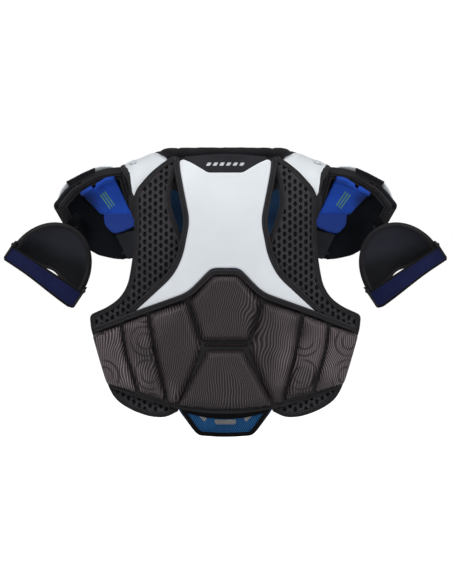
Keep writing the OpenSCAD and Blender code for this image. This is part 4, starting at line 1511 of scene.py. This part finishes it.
ACROSS = np.array([1.0, 0, 0])
ON_GUARD = {"body": "bicep_right", "arm": True}
GUARD_T = 6.0
ARM_STRAP_W, ARM_STRAP_BOW = 24.0, 14
TETHER_LINE = [(44, 73, 0), (41.5, 80, 6), (44, 87, 6), (51, 92, 8), (60, 95.5, 8), (72, 97, 4)]
TETHER_X, TETHER_W = 8.0, 13.0


def guard_dome(a, scale=1.0):
    return (scale * GUARD_R * math.cos(a), scale * GUARD_H * math.sin(a))


def guard_low(t):
    """The guard's lower rim: behind the strap at both ends, and arched clear of it between them."""
    return (GUARD_R * (2 * t - 1), -3.5 + 6.2 * bell(t - 0.43, 0.14))


def guard_shell_height(p, d):
    return 1.2 * smoothstep((d - 6) / 4)


def guard_pad():
    """The lined foam dome, with tape round its domed edge and along its lower rim."""
    outline = [guard_dome(a) for a in np.linspace(0, math.pi, 90)]
    outline += [guard_low(t) for t in np.linspace(0.01, 0.99, 60)]
    pair(relief("guard_padding_right", GUARD, np.array(outline), (0.0, GUARD_T), GUARD_IN, rim=2.2,
                stand_for="bicep_pad_right", **ON_GUARD))
    dome_edge = np.array([guard_dome(a) for a in np.linspace(-0.02, math.pi + 0.02, 120)])
    pair(tape("guard_rim_tape_right", GUARD, offset_path(dome_edge, 1.6), 4.0, (-0.8, GUARD_T + 0.6),
              GUARD_T, slot="guard_lining", **ON_GUARD))
    low_edge = np.array([guard_low(t) for t in np.linspace(0.01, 0.99, 90)])
    pair(tape("guard_low_tape_right", GUARD, low_edge + [0, 1.6], 5.0, (-1.2, GUARD_T + 1.0), GUARD_T,
              slot="guard_lining", **ON_GUARD))


def guard_shell():
    dome = [(*guard_dome(a, 0.84), 8) for a in np.linspace(0.35, math.pi - 0.35, 9)]
    outline = rounded(dome + [(-46, 13, 8), (0, 16, 20), (46, 13, 8)])
    pair(relief("guard_shell_plate_right", GUARD, outline, (GUARD_T + 1.6, GUARD_T + 4.6), GUARD_OUT,
                rim=1.4, height=guard_shell_height, stand_for="bicep_shell_right", **ON_GUARD))


def guard_ear(name, p):
    """The corner of the guard's lining, turned back to hold the strap's end."""
    y = np.linspace(31, -3, 25)
    centres = np.column_stack([np.full(25, p), y, 2.5 + 0.06 * y])
    pair(ribbon(name, centres, [0, 0.1, 1.0], ACROSS, 11.0, 3.0, BINDING, slot="guard_lining", **ON_GUARD))


def arm_strap():
    """The elastic, bowed towards the arm and wider at its medial end."""
    t = np.linspace(0, 1, 61)
    p = GUARD_R * (2 * t - 1)
    bowed = -3 - ARM_STRAP_BOW * np.sin(np.pi * t)
    width = ARM_STRAP_W + 6 * (1 - smoothstep(t / 0.8)) - 2 * smoothstep((0.06 - t) / 0.06)
    rings, flat = [], []
    for w, o in tape_profile(1.0, -1.15, 1.15, 0.1):
        rings.append(np.column_stack([p, bowed + 1.25 - o, -0.8 - (0.5 - w) * width]))
        flat.append(np.column_stack([2 * GUARD_R * t, w * ARM_STRAP_W + 0 * t]))
    verts, faces = loft(np.stack(rings, axis=1))
    pair(make("arm_strap_elastic_right", verts, faces, ARM_ELASTIC, "arm_strap_right", arm=True,
              flat=np.stack(flat, axis=1).reshape(-1, 2), stand_for="bicep_strap_right"))


def strap_anchor(name, p, length):
    """A folded cloth end that holds the strap, with a small knob where it meets the guard."""
    t = np.linspace(0, 1, 33)
    q = -length + (length + 6) * t
    centres = np.column_stack([np.full(33, p), np.full(33, -2.4), q])
    a = circle(14)
    section = np.column_stack([1.9 * np.cos(a), 2.6 * np.sin(a), 0 * a])
    swell = (1 + 0.9 * bell(q - 2.5, 2.4)) * np.sqrt(np.clip(1.02 - (2 * t - 1) ** 10, 0, 1))
    verts, faces = loft(centres[:, None] + section[None] * swell[:, None, None])
    flat = np.column_stack([verts[:, 2], verts[:, 0] + verts[:, 1]])
    pair(make(name, verts, faces, BINDING, flat=flat, slot="guard_lining", **ON_GUARD))


def tether():
    """The webbing from the inside of the cap round the guard's top edge."""
    path = rounded(TETHER_LINE, closed=False, step=1.5)
    n = side_normal(path)
    centres = np.column_stack([np.full(len(path), TETHER_X), path])
    out = np.column_stack([0 * n[:, 0], n])
    pair(ribbon("tether_webbing_right", centres + out, ACROSS, out, TETHER_W, 1.6, TETHER_SHADED, "tether_right",
                stand_for="bicep_tether_right", arm=True))


# ---------- cloth that crosses the joints ----------

# Points along each edge of a bridge
BRIDGE_POINTS = 25


def thinned(path):
    """As many points of a dense path as a bridge's edge has, evenly spread from end to end."""
    return path[np.linspace(0, len(path) - 1, BRIDGE_POINTS).astype(int)]


def cap_bridge():
    """Cloth from under the arch's arm side to the cap's edge."""
    x, y = np.full(BRIDGE_POINTS, ARCH_ARM_X), np.linspace(2, 54, BRIDGE_POINTS)
    a = np.column_stack([x - 3, y, arch_top(x, y) - 5])
    edge = resampled(rounded([(160, -38, 0), (150, -72, 14), (144, -96, 0)], closed=False), 1.0)
    b = lifted(CAP, thinned(edge), CAP_FOAM_T, CAP_FOAM_T - 3)
    x, y, z = joints["cap_right_lift"]["pos_m"]
    cloth = ruled("cap_bridge_right", a, b, 2.2, sag=3.0)
    for piece, side, sign in ((cloth, "right", 1), (pair(cloth), "left", -1)):
        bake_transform(piece)


def shoulder_bridge():
    """Cloth from the arch's front end to the top of the chest panel."""
    x, y = np.linspace(92, 143, BRIDGE_POINTS), np.full(BRIDGE_POINTS, ARCH_FRONT - 4)
    a = np.column_stack([x, y, arch_top(x, y) - 4])
    edge = rounded([(66, -70, 0), (104, -47, 4), (124, -76, 0)], closed=False, step=1.0)
    b = lifted(FRONT, thinned(edge), FRONT_FOAM_OUT, FRONT_FOAM_IN + 4)
    cloth = ruled("shoulder_bridge_right", a, b, 3.0, sag=4.0)
    for piece in (cloth, pair(cloth)):
        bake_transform(piece)


def belly_bridge():
    """Cloth across the fold between the chest panel's hem and the belly pad."""
    x = np.linspace(-80, 80, 41)
    middle = (FRONT_IN + FRONT_FOAM_OUT) / 2
    top = np.column_stack([x, -353 - 8 * (1 - (x / 128) ** 2)])
    bottom = np.column_stack([x * 1.02, np.full(41, -384)])
    a, b = (lifted(FRONT, edge, FRONT_FOAM_OUT, middle) for edge in (top, bottom))
    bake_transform(ruled("belly_bridge", a, b, 2.5))


# ---------- stage, light and camera ----------

SURROUND = 0.26
FLOOR_HALF, FLOOR_GAP = 40, 0.004
CAMERA_AWAY, FRAME_W, FRAME_Z = 16.0, 0.7006, -0.2247
LAMP_TARGET = Vector((0, 0, -0.2))


def studio_floor():
    """A pale floor just under the pads."""
    h, z = FLOOR_HALF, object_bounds()[0][2] - FLOOR_GAP
    mesh = bpy.data.meshes.new("studio_floor")
    mesh.from_pydata([(-h, -h, z), (h, -h, z), (h, h, z), (-h, h, z)], [], [(0, 1, 2, 3)])
    mesh.materials.append(studio_paper())
    floor = bpy.data.objects.new("studio_floor", mesh)
    bpy.context.scene.collection.objects.link(floor)
    floor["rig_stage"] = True


def surround():
    """An even white surround that lights the pads less than the camera sees."""
    world = bpy.data.worlds.new("studio")
    bpy.context.scene.world = world
    world.use_nodes = True
    tree = world.node_tree
    seen = tree.nodes.new("ShaderNodeLightPath")
    strength = tree.nodes.new("ShaderNodeMapRange")
    strength.inputs["To Min"].default_value = SURROUND
    strength.inputs["To Max"].default_value = 1.0
    tree.links.new(seen.outputs["Is Camera Ray"], strength.inputs["Value"])
    tree.links.new(strength.outputs["Result"], tree.nodes["Background"].inputs["Strength"])
    tree.nodes["Background"].inputs["Color"].default_value = (1, 1, 1, 1)


def lamp(name, pos, size, power):
    light = bpy.data.lights.new(name, "AREA")
    light.shape = "DISK"
    light.size = size
    light.energy = power
    o = bpy.data.objects.new(name, light)
    o.location = pos
    o.rotation_euler = (LAMP_TARGET - Vector(pos)).to_track_quat("-Z", "Y").to_euler()
    bpy.context.scene.collection.objects.link(o)


def camera():
    """Square on to the back, from far enough away that nothing converges."""
    cam = bpy.data.cameras.new("camera")
    cam.sensor_fit = "HORIZONTAL"
    cam.lens = cam.sensor_width * CAMERA_AWAY / FRAME_W
    cam.clip_end = 80
    o = bpy.data.objects.new("camera", cam)
    o.location = (0.001, -0.1 - CAMERA_AWAY, FRAME_Z)
    o.rotation_euler = (math.pi / 2, 0, 0)
    bpy.context.scene.collection.objects.link(o)
    bpy.context.scene.camera = o


# ---------- assembly ----------

spine_plate()
spine_tape()
yoke_panel()
collar_roll()
side_mesh()
lumbar_pads()
lumbar_tapes()
shoulder_arch()
painted_rivets()
hanging_loop()
front_panel()
chest_shells()
front_collar()
front_tapes()
belly_lining()
side_strap()
side_strap_root()
cap_padding()
cap_tapes()
cap_shell()
guard_pad()
guard_shell()
guard_ear("guard_ear_medial_right", -GUARD_R - 0.3)
guard_ear("guard_ear_lateral_right", GUARD_R + 0.3)
arm_strap()
strap_anchor("strap_root_right", -GUARD_R - 0.5, 29)
strap_anchor("strap_catch_right", GUARD_R + 0.5, 24)
tether()
cap_bridge()
shoulder_bridge()
belly_bridge()

blue, arch_foam = cap_blue(), arch_cushion()
puffed(blue, voxel=1.5, pressure=2.0, cap=2.0)
puffed([belly_cushion(), arch_foam, spine_cushion()], voxel=3.0, pressure=3.0, cap=3.5)
for piece in (*blue, arch_foam):
    pair(piece)

studio_floor()
surround()
lamp("key", (-1.8, -3.2, 2.4), 1.6, 66)
lamp("fill", (2.4, -3.0, 1.2), 2.0, 42)
lamp("top", (0, -0.4, 3.0), 1.8, 34)
bpy.context.scene.view_settings.view_transform = "Standard"
camera()
